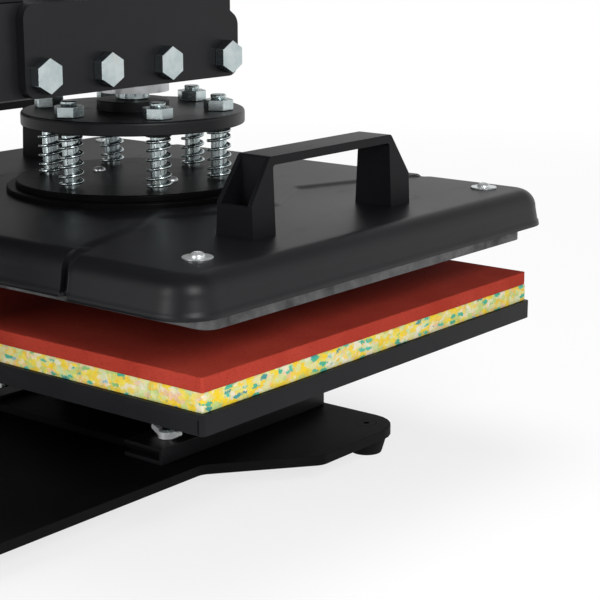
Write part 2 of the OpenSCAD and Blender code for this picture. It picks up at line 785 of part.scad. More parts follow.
module display_window() {
    glass_gap = 0.1;
    color([0.05, 0.02, 0.02]) placed() on_slope() translate([0, window_at, fascia_t / 2])
        block(window_w - 2 * glass_gap, window_l - 2 * glass_gap, fascia_t / 2);
}
module key(column) {
    color([0.55, 0.55, 0.57]) placed() at_key(column) {
        translate([0, 0, -key_collar]) cylinder(h = key_collar + fascia_t + key_proud, d = key_d);
        translate([0, 0, -key_collar - seat_gap]) cylinder(h = key_collar, d = key_d + 2);
    }
}
module key_set() { key(0); }
module key_up() { key(1); }
module key_down() { key(2); }
module rocker_switch() {
    depth = 8;
    crown = 5;
    half = rocker_l / 2 - 1.2;
    reach = rocker_lug_in + rocker_lug_t - 0.2;
    color([0.1, 0.1, 0.1]) placed() at_rocker() {
        across(-rocker_w / 2, rocker_w) polygon([
            [-depth, -rocker_l / 4], [-depth, rocker_l / 4], [0, half], [crown, half],
            [crown / 2, 0], [crown / 2, -half], [0, -half]
        ]);
        translate([0, -rocker_axis, 0]) pin_x(-reach, 2 * reach, rocker_pin_d);
    }
}
module mains_inlet() {
    depth = 18;
    lip = 2.5;
    rim = 3;
    wall = 1.8;
    pin_h = 12;
    color(plastic_black) placed() at_inlet() {
        difference() {
            union() {
                translate([-inlet_w / 2, -depth, -inlet_l / 2]) cube([inlet_w, depth, inlet_l]);
                translate([-inlet_w / 2 - rim, 0, -inlet_l / 2 - rim])
                    cube([inlet_w + 2 * rim, lip, inlet_l + 2 * rim]);
            }
            translate([-inlet_w / 2 + wall, -depth + wall, -inlet_l / 2 + wall])
                cube([inlet_w - 2 * wall, depth + lip, inlet_l - 2 * wall]);
        }
        for (p = [[-7, -2], [0, 3], [7, -2]])
            translate([p[0] - 1, -depth + 1, p[1] - 2]) cube([2, pin_h, 4]);
    }
}
module gland() {
    hex(gland_hex, gland_nut);
    translate([0, 0, gland_nut]) cylinder(h = gland_len - gland_nut, d1 = gland_d + 1, d2 = gland_d - 3);
    translate([0, 0, -gland_nut]) cylinder(h = gland_nut, d = gland_d);
}
module box_gland() { color(plastic_black) placed() at_box_gland() rotate([0, 90, 0]) gland(); }

// Lever: two fork plates with crank stubs, a yoke, a bar and a grip
lever_dir = [-cos(lever_rise), sin(lever_rise)];
crank_at = [pivot_y - crank_r * cos(crank_angle), pivot_z + crank_r * sin(crank_angle)];
fork_w = 26;
yoke_d = 26;
yoke_floor = 6;
yoke_screw_d = 6;
yoke_screw_in = 11;
yoke_screw_gap = 12;
module along_lever() { at_pivot() rotate([90 - lever_rise, 0, 0]) children(); }
module limb(a, b, wa, wb) {
    side = [-unit(b - a)[1], unit(b - a)[0]];
    polygon([a + side * wa / 2, a - side * wa / 2, b - side * wb / 2, b + side * wb / 2]);
}
module at_yoke_screws() {
    for (l = [-1, 1] * yoke_screw_gap / 2, sx = [-1, 1]) along_lever()
        translate([sx * (fork_in + fork_t), 0, fork_len - yoke_d / 2 + l]) rotate([0, sx * 90, 0])
            children();
}
module fork() {
    pivot_at = [pivot_y, pivot_z];
    tip = pivot_at + lever_dir * fork_len;
    difference() {
        union() {
            across(fork_in, fork_t) {
                translate(pivot_at) circle(r = eye_r);
                translate(crank_at) circle(d = crank_d + 10);
                limb(pivot_at, crank_at, 2 * eye_r, crank_d + 10);
                limb(pivot_at, tip, 2 * eye_r - 2, fork_w);
            }
            translate([0, crank_at[0], crank_at[1]])
                pin_x(fork_in - crank_in, crank_in + fork_t / 2, crank_d);
        }
        at_pivot() pin_x(fork_in - cut, fork_t + 2 * cut, pivot_d + 2 * run_gap);
        at_yoke_screws() translate([0, 0, -fork_t - cut])
            cylinder(h = fork_t + 2 * cut, d = yoke_screw_d + hole_gap);
    }
}
module fork_left() { color(steel_black) placed() mirror([1, 0, 0]) fork(); }
module fork_right() { color(steel_black) placed() fork(); }
module lever_yoke() {
    color(steel_black) placed() difference() {
        along_lever() translate([0, 0, fork_len - yoke_d]) block(2 * fork_in, yoke_d, yoke_d);
        along_lever() translate([0, 0, fork_len - yoke_d + yoke_floor])
            cylinder(h = yoke_d, d = bar_d + 2 * run_gap);
        at_yoke_screws() translate([0, 0, -fork_t - yoke_screw_in - cut])
            cylinder(h = fork_t + yoke_screw_in + cut, d = yoke_screw_d + hole_gap);
    }
}
module yoke_screws() {
    color(zinc) placed() at_yoke_screws() pan_screw(yoke_screw_d, fork_t + yoke_screw_in);
}
grip_end = 4;
module lever_bar() {
    bar_z = fork_len - yoke_d + yoke_floor;
    color(zinc) placed() along_lever() translate([0, 0, bar_z])
        cylinder(h = lever_len - grip_end - bar_z, d = bar_d);
}
module lever_grip() {
    end_r = 6;
    side_r = grip_d / 2 - end_r;
    color([0.05, 0.05, 0.05]) placed() along_lever() translate([0, 0, lever_len - grip_len]) difference() {
        rotate_extrude() polygon(concat([[0, 0]],
            [for (a = [-90 : 15 : 0]) [side_r + end_r * cos(a), end_r + end_r * sin(a)]],
            [for (a = [0 : 15 : 90]) [side_r + end_r * cos(a), grip_len - end_r + end_r * sin(a)]],
            [[0, grip_len]]));
        translate([0, 0, -cut]) cylinder(h = grip_len - grip_end + cut, d = bar_d + 2 * run_gap);
    }
}

// Crosshead with its ram, spindle, knob and spring flange
module crosshead() {
    color(alloy) placed() difference() {
        union() {
            translate([0, 0, cross_z]) block(cross_w, cross_d, cross_h);
            translate([0, 0, ram_z]) cylinder(h = cross_z - ram_z, d = ram_d);
        }
        translate([0, 0, ram_z - cut])
            cylinder(h = cross_top - ram_z + 2 * cut, d = spindle_d + 2 * run_gap);
        for (side = [0, 1]) mirror([side, 0, 0])
            translate([slot_in, -slot_run / 2 - slot_d / 2, cross_z + cross_h / 2 - slot_d / 2])
                cube([fork_in - slot_in, slot_run + slot_d, slot_d]);
    }
}
module at_bolts() { ring_of(bolt_count, bolt_ring_r) children(); }
module spring_flange() {
    edge = 1;
    color(steel_black) placed() translate([0, 0, flange_z]) difference() {
        rotate_extrude() polygon([
            [0, 0], [flange_d / 2, 0], [flange_d / 2, flange_t - edge], [flange_d / 2 - edge, flange_t],
            [hub_d / 2, flange_t], [hub_d / 2, flange_t + hub_h], [0, flange_t + hub_h]
        ]);
        translate([0, 0, -cut]) cylinder(h = flange_t + hub_h + 2 * cut, d = journal_d + 2 * run_gap);
        at_bolts() translate([0, 0, -cut]) cylinder(h = flange_t + 2 * cut, d = bolt_d + 4 * run_gap);
    }
}
module spring_collars() {
    color(plastic_black) placed() translate([0, 0, collar_z]) at_bolts() difference() {
        cylinder(h = collar_h, d = spring_od + 0.6);
        translate([0, 0, -cut]) cylinder(h = collar_h + 2 * cut, d = bolt_d + 4 * run_gap);
    }
}
module spindle() {
    foot_z = flange_z - seat_gap;
    shoulder_z = flange_top + hub_h + seat_gap;
    color(zinc) placed() rotate_extrude() polygon([
        [0, foot_z - keeper_h], [keeper_d / 2, foot_z - keeper_h], [keeper_d / 2, foot_z],
        [journal_d / 2, foot_z], [journal_d / 2, shoulder_z],
        [spindle_d / 2, shoulder_z], [spindle_d / 2, knob_z], [0, knob_z]
    ]);
}
module pressure_knob() {
    grips = 10;
    dome = 3;
    color(plastic_black) placed() translate([0, 0, knob_z]) difference() {
        rotate_extrude() polygon(concat(
            [[0, 0], [knob_d / 2 - 2, 0], [knob_d / 2, 2], [knob_d / 2, knob_h - dome]],
            [for (a = [30 : 30 : 90]) [knob_d / 2 - dome + dome * cos(a), knob_h - dome + dome * sin(a)]],
            [[0, knob_h]]));
        ring_of(grips, knob_d / 2 + 3) translate([0, 0, 4]) cylinder(h = knob_h, d = 10);
    }
}

// Spring bolts, nuts and springs
module spring_bolts() {
    tip = 1;
    color(zinc) placed() at_bolts() rotate_extrude() polygon([
        [0, lower_disc_z], [bolt_d / 2, lower_disc_z], [bolt_d / 2, bolt_top - tip],
        [bolt_d / 2 - tip, bolt_top], [0, bolt_top]
    ]);
}
module spring_nuts() {
    color(zinc) placed() at_bolts() translate([0, 0, flange_top + seat_gap]) difference() {
        hex(bolt_nut_af, bolt_nut_h);
        translate([0, 0, -cut]) cylinder(h = bolt_nut_h + 2 * cut, d = bolt_d + 2 * run_gap);
    }
}
spring_all = spring_turns + 2;
function spring_rise(t) = t < 1 ? spring_end_pitch * t
    : t > spring_all - 1 ? spring_end_pitch * (t - spring_all + 2) + spring_pitch * spring_turns
    : spring_end_pitch + spring_pitch * (t - 1);
function spring_centre(t) = [spring_r * cos(360 * t), spring_r * sin(360 * t), spring_rise(t)];
function spring_points() = [for (i = [0 : spring_all * spring_rings]) spring_centre(i / spring_rings)];
function spring_self_gap() = let (c = spring_points(), far = spring_rings / 2)
    min([for (i = [0 : len(c) - 1 - far], j = [i + far : 1 : len(c) - 1]) norm(c[i] - c[j])]) - spring_wire;
// One ring of the wire, square to the coil
function wire_ring(t) = let (c = spring_centre(t)) [for (k = [0 : spring_sides - 1])
    let (a = 360 / spring_sides * k, out = spring_wire / 2 * cos(a))
    [c[0] + out * cos(360 * t), c[1] + out * sin(360 * t), c[2] + spring_wire / 2 * (1 + sin(a))]];
module spring() {
    rings = spring_all * spring_rings;
    n = spring_sides;
    points = [for (i = [0 : rings]) each wire_ring(i / spring_rings)];
    sides = [for (i = [0 : rings - 1], k = [0 : n - 1]) let (a = i * n + k, b = i * n + (k + 1) % n)
        each [[a, a + n, b], [b, a + n, b + n]]];
    caps = [for (k = [1 : n - 2]) each [[0, k, k + 1], [rings * n, rings * n + k + 1, rings * n + k]]];
    polyhedron(points, concat(sides, caps));
}
// Every spring is set with its wire's ends on the same side of the machine
spring_start = -51;
module platen_springs() {
    color(zinc) placed() for (i = [0 : bolt_count - 1]) let (a = 90 + 360 / bolt_count * i)
        translate([bolt_ring_r * cos(a), bolt_ring_r * sin(a), spring_z]) rotate(spring_start) spring();
}

// Heated platen
module disc(d, t) {
    edge = 0.6;
    difference() {
        rotate_extrude($fn = 96)
            polygon([[0, 0], [d / 2, 0], [d / 2, t - edge], [d / 2 - edge, t], [0, t]]);
        at_bolts() translate([0, 0, -cut]) cylinder(h = t + 2 * cut, d = bolt_d + 2 * run_gap);
        at_disc_screws() translate([0, 0, -cut]) cylinder(h = t + 2 * cut, d = pan_d + hole_gap);
    }
}
pan_d = 4;
module lower_disc() {
    color(steel_black) placed() translate([0, 0, lower_disc_z]) disc(lower_disc_d, lower_disc_t);
}
module upper_disc() {
    color(steel_black) placed() translate([0, 0, upper_disc_z]) disc(upper_disc_d, upper_disc_t);
}
module lid_form(w, d, r, h) {
    top_r = r - cover_draft - cover_edge;
    hull() four(w / 2 - r, d / 2 - r) rotate_extrude($fn = 32) polygon(concat([[0, 0], [r, 0]],
        [for (a = [0 : 15 : 90]) [top_r + cover_edge * cos(a), h - cover_edge + cover_edge * sin(a)]],
        [[0, h]]));
}
module panel_outline() {
    end_y = cover_d / 2 + cut;
    waist_y = 62;
    mid_half = 12;
    polygon(both_sides([
        [panel_edge_w / 2, -end_y], [panel_waist_w / 2, -waist_y], [panel_mid_w / 2, -mid_half],
        [panel_mid_w / 2, mid_half], [panel_waist_w / 2, waist_y], [panel_edge_w / 2, end_y]
    ]));
}
module panel_ends() {
    lap = 0.5;
    for (side = [0, 1]) mirror([0, side]) intersection() {
        offset(delta = -lap) panel_outline();
        translate([-cover_w / 2, cover_d / 2 - cover_r]) square([cover_w, 2 * cover_r]);
    }
}
module platen_cover() {
    inner_r = cover_r - cover_wall;
    color(plastic_black) placed() translate([0, 0, cover_z]) difference() {
        union() {
            difference() {
                lid_form(cover_w, cover_d, cover_r, cover_h);
                translate([0, 0, -cut]) linear_extrude(cover_h + 2 * cut) panel_ends();
            }
            intersection() {
                lid_form(cover_w, cover_d - 2 * panel_back, cover_r, cover_h + panel_h);
                translate([0, 0, -cut]) linear_extrude(cover_h + panel_h + 2 * cut) panel_outline();
            }
        }
        translate([0, 0, -cover_wall]) lid_form(cover_w - 2 * cover_wall,
            cover_d - 2 * panel_back - 2 * cover_wall, inner_r, cover_h);
        at_cover_screws() cylinder(h = 2 * cover_h, d = cover_screw_d + hole_gap);
        at_disc_screws() cylinder(h = 2 * cover_h, d = pan_d + hole_gap);
        at_handle_screws() cylinder(h = 2 * cover_h, d = pan_d + hole_gap);
        at_platen_gland() {
            pin_y(-cover_r, 2 * cover_r, gland_d + hole_gap);
            pin_y(0, cover_r, gland_seat_d);
        }
    }
}
handle_screw_y = handle_len / 2 - handle_foot / 2;
module at_disc_screws() { twin(disc_screw_r) children(); }
module at_cover_screws() {
    translate([0, -cover_screw_shift, 0]) four(cover_screw_x, cover_screw_y) children();
}
module at_handle_screws() { translate([0, handle_shift, 0]) four(handle_x, handle_screw_y) children(); }
gland_z = 9;
gland_y = cover_d / 2 - cover_draft * gland_z / (cover_h - cover_edge);
module at_platen_gland() { translate([cover_w / 2 - 2 * cover_r, gland_y, gland_z]) children(); }
cover_screw_in = 8;
module cover_screws() {
    washer_h = 1;
    screw_l = cover_top - heater_z - heater_t + cover_screw_in;
    color(zinc) placed() at_cover_screws() translate([0, 0, cover_top]) {
        cylinder(h = washer_h, d = cover_washer_d);
        translate([0, 0, washer_h]) pan_screw(cover_screw_d, screw_l + washer_h);
    }
}
module pan_screws() {
    color(zinc) placed() {
        at_disc_screws() translate([0, 0, spring_z]) pan_screw(pan_d, spring_z - cover_top + cover_wall);
        at_handle_screws() translate([0, 0, cover_top + handle_floor])
            pan_screw(pan_d, handle_floor + cover_wall);
    }
}
// An outline in Y and Z drawn out along X to a width that narrows from the foot to the grip
module drafted(w) {
    top = w / 2 - handle_draft;
    intersection() {
        across(-w / 2, w) children();
        rotate([90, 0, 0]) linear_extrude(2 * handle_len, center = true)
            polygon([[-w / 2, 0], [w / 2, 0], [top, handle_h], [top, 2 * handle_h],
                [-top, 2 * handle_h], [-top, handle_h]]);
    }
}
module handle() {
    end = handle_len / 2;
    inner = end - handle_foot;
    top_end = inner + 2;
    rim_z = handle_floor + handle_rim;
    shoulder = rim_z + 1;
    pocket_in = inner + handle_wall;
    pocket_out = end - handle_wall;
    difference() {
        drafted(handle_w) polygon(rounded([
            [-end, 0], [-inner, 0], [-inner, handle_h - handle_bar], [inner, handle_h - handle_bar],
            [inner, 0], [end, 0], [end, shoulder], [top_end, handle_h],
            [-top_end, handle_h], [-end, shoulder]
        ], [0, 0, 2, 2, 0, 0, 1, 3, 3, 1]));
        for (side = [0, 1]) mirror([0, side, 0])
            drafted(handle_w - 2 * handle_wall) polygon([
                [pocket_in, handle_floor], [pocket_out, handle_floor], [pocket_out, rim_z],
                [end + cut, rim_z], [end + cut, handle_h], [top_end, handle_h + cut],
                [pocket_in, handle_h - handle_wall]
            ]);
        for (sy = [-1, 1]) translate([0, sy * handle_screw_y, -cut])
            cylinder(h = handle_floor + 2 * cut, d = pan_d + hole_gap);
    }
}
module handle_left() {
    color(plastic_black) placed() translate([-handle_x, handle_shift, cover_top]) handle();
}
module handle_right() {
    color(plastic_black) placed() translate([handle_x, handle_shift, cover_top]) handle();
}
module heater_plate() {
    color(alloy) placed() translate([0, 0, heater_z]) difference() {
        rounded_sheet(heater_w, heater_d, heater_t, heater_r);
        at_cover_screws() translate([0, 0, heater_t - cover_screw_in - cut])
            cylinder(h = cover_screw_in + 2 * cut, d = cover_screw_d + hole_gap);
    }
}
element_z = heater_z + heater_t + element_d / 2;
element_rows = 5;
element_pitch = 46;
module heating_element() {
    run = heater_w / 2 - 60;
    y0 = -element_pitch * (element_rows - 1) / 2;
    color([0.35, 0.3, 0.25]) placed() translate([0, 0, element_z]) {
        for (i = [0 : element_rows - 1]) translate([0, y0 + i * element_pitch, 0])
            pin_x(-run, 2 * run, element_d);
        for (i = [0 : element_rows - 2])
            translate([i % 2 == 0 ? run : -run, y0 + (i + 0.5) * element_pitch, 0])
            rotate(i % 2 == 0 ? -90 : 90) rotate_extrude(angle = 180)
                translate([element_pitch / 2, 0, 0]) circle(d = element_d);
    }
}
module insulation_board() {
    board_z = element_z + element_d / 2;
    color([0.85, 0.82, 0.75]) placed() translate([0, 0, board_z])
        rounded_sheet(heater_w - 70, heater_d - 60, board_t, 10);
}
module platen_gland() {
    color(plastic_black) placed() translate([0, 0, cover_z]) at_platen_gland() rotate([-90, 0, 0])
        gland();
}

base_plate();
rubber_feet();
foot_screws();
rail_left();
rail_right();
column();
column_bolts();
stop_collar();
platen_stand();
clamp_studs();
wing_nut_left();
wing_nut_right();
lower_plate();
foam_pad();
silicone_pad();
swing_sleeve();
arm_beam();
cheek_left();
cheek_right();
guide_housing();
guide_bush();
cheek_bolts();
pivot_bolts();
pivot_washers();
box_bracket();
control_box();
box_back();
fascia();
display_window();
key_set();
key_up();
key_down();
rocker_switch();
mains_inlet();
box_gland();
fork_left();
fork_right();
lever_yoke();
yoke_screws();
lever_bar();
lever_grip();
crosshead();
spring_flange();
spring_collars();
spindle();
pressure_knob();
spring_bolts();
spring_nuts();
platen_springs();
lower_disc();
upper_disc();
platen_cover();
cover_screws();
pan_screws();
handle_left();
handle_right();
heater_plate();
heating_element();
insulation_board();
platen_gland();
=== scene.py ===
import json
import math

import bmesh
import bpy
import numpy as np
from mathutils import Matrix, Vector


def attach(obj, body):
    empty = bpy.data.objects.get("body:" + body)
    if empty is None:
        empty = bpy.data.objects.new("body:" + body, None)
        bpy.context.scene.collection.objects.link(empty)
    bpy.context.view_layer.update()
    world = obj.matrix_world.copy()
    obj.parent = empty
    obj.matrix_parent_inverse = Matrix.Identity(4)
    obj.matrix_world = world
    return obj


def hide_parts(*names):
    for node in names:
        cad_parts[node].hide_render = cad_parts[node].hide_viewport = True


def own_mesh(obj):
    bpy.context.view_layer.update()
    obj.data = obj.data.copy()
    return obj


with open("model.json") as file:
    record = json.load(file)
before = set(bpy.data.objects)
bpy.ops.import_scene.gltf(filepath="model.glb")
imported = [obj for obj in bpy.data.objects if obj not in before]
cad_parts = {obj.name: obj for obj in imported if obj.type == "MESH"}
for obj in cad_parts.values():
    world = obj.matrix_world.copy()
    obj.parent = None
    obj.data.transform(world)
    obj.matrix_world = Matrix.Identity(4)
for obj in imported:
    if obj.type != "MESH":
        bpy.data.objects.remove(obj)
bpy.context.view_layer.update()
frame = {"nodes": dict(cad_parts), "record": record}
scene = bpy.context.scene
scene.view_settings.view_transform = "Standard"
pressY = -0.0665  # the press axis stands this far in front of the origin

view = {"eye": (-0.6991, 0.6426, 0.3289), "look": (0.608, -0.758, -0.237), "lens": 97.62, "sensor": 36.0}
camera = bpy.data.objects.new("camera", bpy.data.cameras.new("camera"))
camera.data.lens = view["lens"]
camera.data.sensor_width = view["sensor"]
camera.location = view["eye"]
camera.rotation_euler = Vector(view["look"]).to_track_quat("-Z", "Y").to_euler()
scene.collection.objects.link(camera)
scene.camera = camera
print("camera set")


class Term:
    # A socket that can be added, multiplied and so on, each step adding one Math node
    def __init__(self, finish, socket):
        self.finish = finish
        self.socket = socket

    def math(self, operation, first, second):
        return self.finish.node("ShaderNodeMath", {"operation": operation}, {0: first, 1: second})

    def __add__(self, other):
        return self.math("ADD", self, other)

    def __radd__(self, other):
        return self.math("ADD", other, self)

    def __sub__(self, other):
        return self.math("SUBTRACT", self, other)

    def __rsub__(self, other):
        return self.math("SUBTRACT", other, self)

    def __mul__(self, other):
        return self.math("MULTIPLY", self, other)

    def __rmul__(self, other):
        return self.math("MULTIPLY", other, self)

    def __gt__(self, other):
        return self.math("GREATER_THAN", self, other)


class Finish:
    # A material: uniform values go straight on the shader's sockets, varying ones come from nodes
    def __init__(self, name, **uniform):
        self.material = bpy.data.materials.new(name)
        self.material.use_nodes = True
        self.tree = self.material.node_tree
        self.shader = self.tree.nodes["Principled BSDF"]
        for socket, value in uniform.items():
            self.shader.inputs[socket.replace("_", " ")].default_value = value
        self.place = self.node("ShaderNodeTexCoord", {}, {}, "Object")

    def node(self, kind, settings, inputs, output=0):
        made = self.tree.nodes.new(kind)
        for key, value in settings.items():
            if key == "stops":
                self.setStops(made.color_ramp, value)
            else:
                setattr(made, key, value)
        for key, value in inputs.items():
            if isinstance(value, Term):
                self.tree.links.new(value.socket, made.inputs[key])
            else:
                made.inputs[key].default_value = value
        return Term(self, made.outputs[output])

    def setStops(self, ramp, stops):
        while len(ramp.elements) < len(stops):
            ramp.elements.new(1.0)
        for element, (at, colour) in zip(ramp.elements, stops):
            element.position = at
            element.color = (*colour, 1.0)

    def stretched(self, scale):
        return self.node("ShaderNodeMapping", {}, {"Vector": self.place, "Scale": scale})

    def noise(self, scale, detail=3.0, rough=0.55, where=None):
        inputs = {"Vector": where or self.place, "Scale": scale, "Detail": detail, "Roughness": rough}
        return self.node("ShaderNodeTexNoise", {}, inputs)

    def cells(self, scale, output, where=None):
        inputs = {"Vector": where or self.place, "Scale": scale}
        return self.node("ShaderNodeTexVoronoi", {"feature": "F1"}, inputs, output)

    def ramp(self, value, stops, interpolation="LINEAR"):
        made = self.node("ShaderNodeValToRGB", {"stops": stops}, {"Fac": value})
        made.socket.node.color_ramp.interpolation = interpolation
        return made

    def band(self, value, low, high):
        inputs = {"Value": value, "From Min": low, "From Max": high}
        return self.node("ShaderNodeMapRange", {"clamp": True}, inputs)

    def mix(self, factor, first, second):
        opaque = [c if isinstance(c, Term) else (*c, 1.0) for c in (first, second)]
        inputs = {0: factor, 6: opaque[0], 7: opaque[1]}
        return self.node("ShaderNodeMix", {"data_type": "RGBA"}, inputs, 2)

    def channel(self, colour, name):
        return self.node("ShaderNodeSeparateColor", {}, {"Color": colour}, name)

    def bump(self, height, strength, depth):
        return self.node("ShaderNodeBump", {}, {"Height": height, "Strength": strength, "Distance": depth})

    def set(self, **links):
        for socket, term in links.items():
            self.tree.links.new(term.socket, self.shader.inputs[socket.replace("_", " ")])
        return self.material


# Finishes, one dictionary each. A noise is its scale in 1/m, detail and roughness; a pair such as clouded
# has the values of the noise between which the colour or the dullness changes; depths are in m
coat = {"dark": (0.0075, 0.0078, 0.009), "light": (0.012, 0.0124, 0.014), "cloud": (14.0, 4.0),
        "clouded": (0.3, 0.7), "patch": (55.0, 6.0, 0.7), "stretch": (1.0, 1.0, 1.0),
        "patched": (0.55, 0.8), "patchRough": 0.12, "rough": (0.32, 0.46), "grain": (900.0, 2.0),
        "relief": 0.35, "depth": 0.00012, "gloss": 0.2}
plateCoat = {**coat, "dark": (0.0055, 0.0058, 0.0068), "light": (0.0095, 0.0099, 0.0112),
             "rough": (0.36, 0.5), "gloss": 0.12}
mattCoat = {**coat, "dark": (0.0028, 0.0028, 0.003), "light": (0.0052, 0.005, 0.0051),
            "rough": (0.5, 0.62), "gloss": 0.06}
# Discs: the coat darkened near to black, partly their finish and partly painted shade, as they sit in
# shadow
discCoat = {**coat, "dark": (0.002, 0.002, 0.002), "light": (0.004, 0.0039, 0.0038),
            "rough": (0.3, 0.4), "gloss": 0.04}
moulded = {"dark": (0.0042, 0.0044, 0.0053), "light": (0.0068, 0.0071, 0.0083), "cloud": (9.0, 3.0),
           "clouded": (0.35, 0.7), "patch": (70.0, 6.0, 0.72), "stretch": (1.0, 0.35, 1.0),
           "patched": (0.58, 0.74), "patchRough": 0.08, "rough": (0.34, 0.44),
           "grain": (2600.0, 2.0, 0.6), "relief": 0.3, "depth": 0.00006, "gloss": 0.23}
handleMoulded = {**moulded, "gloss": 0.1}
panelMoulded = {**moulded, "grain": (1500.0, 2.0, 0.6), "rough": (0.3, 0.42)}


# Powder coat or moulded plastic: clouded black with a fine grain, duller in patches of dust or along scuffs
def dulledBlack(name, spec):
    f = Finish(name, Specular_IOR_Level=spec["gloss"])
    cloud = f.noise(*spec["cloud"])
    patch = f.band(f.noise(*spec["patch"], f.stretched(spec["stretch"])), *spec["patched"])
    low, high = spec["rough"]
    return f.set(Base_Color=f.mix(f.band(cloud, *spec["clouded"]), spec["dark"], spec["light"]),
                 Roughness=low + (high - low) * cloud + spec["patchRough"] * patch,
                 Normal=f.bump(f.noise(*spec["grain"]), spec["relief"], spec["depth"]))


plating = {"pale": (0.56, 0.62, 0.625), "blue": (0.43, 0.51, 0.52), "straw": (0.52, 0.54, 0.5),
           "cloud": (130.0, 4.0), "clouded": (0.35, 0.7), "tint": (60.0, 2.0), "tinted": (0.58, 0.8),
           "rough": (0.2, 0.32), "grain": (1500.0, 3.0, 0.6), "relief": 0.12, "depth": 0.00003,
           "metal": 1.0}
screwPlating = {**plating, "pale": (0.72, 0.74, 0.74), "blue": (0.6, 0.64, 0.65),
                "rough": (0.26, 0.36), "metal": 0.72}
# Wing nuts: zinc made pale and mostly diffuse, partly bright plating and partly painted light, as they sit
# in shadow
wingPlating = {**plating, "pale": (0.85, 0.86, 0.86), "blue": (0.7, 0.73, 0.74),
               "rough": (0.42, 0.55), "metal": 0.25}


# Zinc plate: pale and bluish clouds, with a straw tint in places
def zincPlate(name, spec):
    f = Finish(name, Metallic=spec["metal"])
    cloud = f.noise(*spec["cloud"])
    cool = f.mix(f.band(cloud, *spec["clouded"]), spec["pale"], spec["blue"])
    tint = f.band(f.noise(*spec["tint"]), *spec["tinted"])
    low, high = spec["rough"]
    return f.set(Base_Color=f.mix(tint, cool, spec["straw"]),
                 Roughness=low + (high - low) * cloud,
                 Normal=f.bump(f.noise(*spec["grain"]), spec["relief"], spec["depth"]))


steel = {"ground": (0.56, 0.57, 0.58), "clouds": (0.4, 0.4, 0.41), "cloud": (25.0, 4.0),
         "clouded": (0.3, 0.7), "lines": (5200.0 / 60.0, 4.0, 0.6), "stretch": (1.0, 1.0, 60.0),
         "rough": (0.24, 0.4), "relief": 0.25, "depth": 0.00004}
bronze = {"ground": (0.4, 0.25, 0.1), "clouds": (0.62, 0.42, 0.18), "cloud": (40.0, 4.0),
          "clouded": (0.0, 1.0), "lines": (90.0, 3.0, 0.5), "stretch": (1.0, 1.0, 40.0),
          "rough": (0.3, 0.45), "relief": 0.2, "depth": 0.00004}


# Turned metal: turning lines, a noise drawn out around Z, on clouded metal
def turnedMetal(name, spec):
    f = Finish(name, Metallic=1.0)
    lines = f.noise(*spec["lines"], f.stretched(spec["stretch"]))
    clouded = f.band(f.noise(*spec["cloud"]), *spec["clouded"])
    low, high = spec["rough"]
    return f.set(Base_Color=f.mix(clouded, spec["ground"], spec["clouds"]),
                 Roughness=low + (high - low) * lines,
                 Normal=f.bump(lines, spec["relief"], spec["depth"]))


casting = {"dark": (0.055, 0.054, 0.055), "pale": (0.15, 0.15, 0.153), "mottle": (85.0, 6.0, 0.68),
           "smear": (26.0, 3.0, 0.5), "stretch": (1.0, 1.0, 3.0), "shares": (0.6, 0.4),
           "worn": (0.36, 0.64), "rough": (0.42, 0.62), "grain": (1100.0, 3.0, 0.6), "relief": 0.4,
           "depth": 0.00012, "metal": 0.9}


# Cast aluminium: mottled and smeared, smoother where it is worn pale
def castAluminium(name, spec):
    f = Finish(name, Metallic=spec["metal"])
    smear = f.noise(*spec["smear"], f.stretched(spec["stretch"]))
    mottled, smeared = spec["shares"]
    worn = f.band(mottled * f.noise(*spec["mottle"]) + smeared * smear, *spec["worn"])
    low, high = spec["rough"]
    return f.set(Base_Color=f.mix(worn, spec["dark"], spec["pale"]),
                 Roughness=high - (high - low) * worn,
                 Normal=f.bump(f.noise(*spec["grain"]), spec["relief"], spec["depth"]))


# The hollow colour is painted shade, mixed into the pits
silicone = {"red": (0.44, 0.053, 0.033), "deep": (0.36, 0.037, 0.022), "pale": (0.55, 0.09, 0.062),
            "hollow": (0.2, 0.016, 0.01), "cloud": (30.0, 4.0), "clouded": (0.3, 0.7),
            "speck": (2300.0, 2.0), "specked": (0.6, 0.74), "speckShare": 0.45, "pit": (950.0, 3.0, 0.6),
            "stretch": (0.7, 0.7, 1.4), "pitted": (0.56, 0.68), "pitShare": 0.5, "rough": 0.82,
            "cloudRough": 0.1, "pores": 1700.0, "relief": 0.35, "depth": 0.00025, "gloss": 0.06}


# Silicone sponge: clouded red with pale specks, pits darkened with painted shade, and small pores
def siliconeSponge(name, spec):
    f = Finish(name, Specular_IOR_Level=spec["gloss"])
    cloud = f.noise(*spec["cloud"])
    speck = f.band(f.noise(*spec["speck"]), *spec["specked"])
    pit = f.band(f.noise(*spec["pit"], f.stretched(spec["stretch"])), *spec["pitted"])
    base = f.mix(f.band(cloud, *spec["clouded"]), spec["deep"], spec["red"])
    flecked = f.mix(spec["speckShare"] * speck, base, spec["pale"])
    # Painted shade: the pits are mixed towards the dark hollow colour
    return f.set(Base_Color=f.mix(spec["pitShare"] * pit, flecked, spec["hollow"]),
                 Roughness=spec["rough"] + spec["cloudRough"] * cloud,
                 Normal=f.bump(f.cells(spec["pores"], "Distance"), spec["relief"], spec["depth"]))


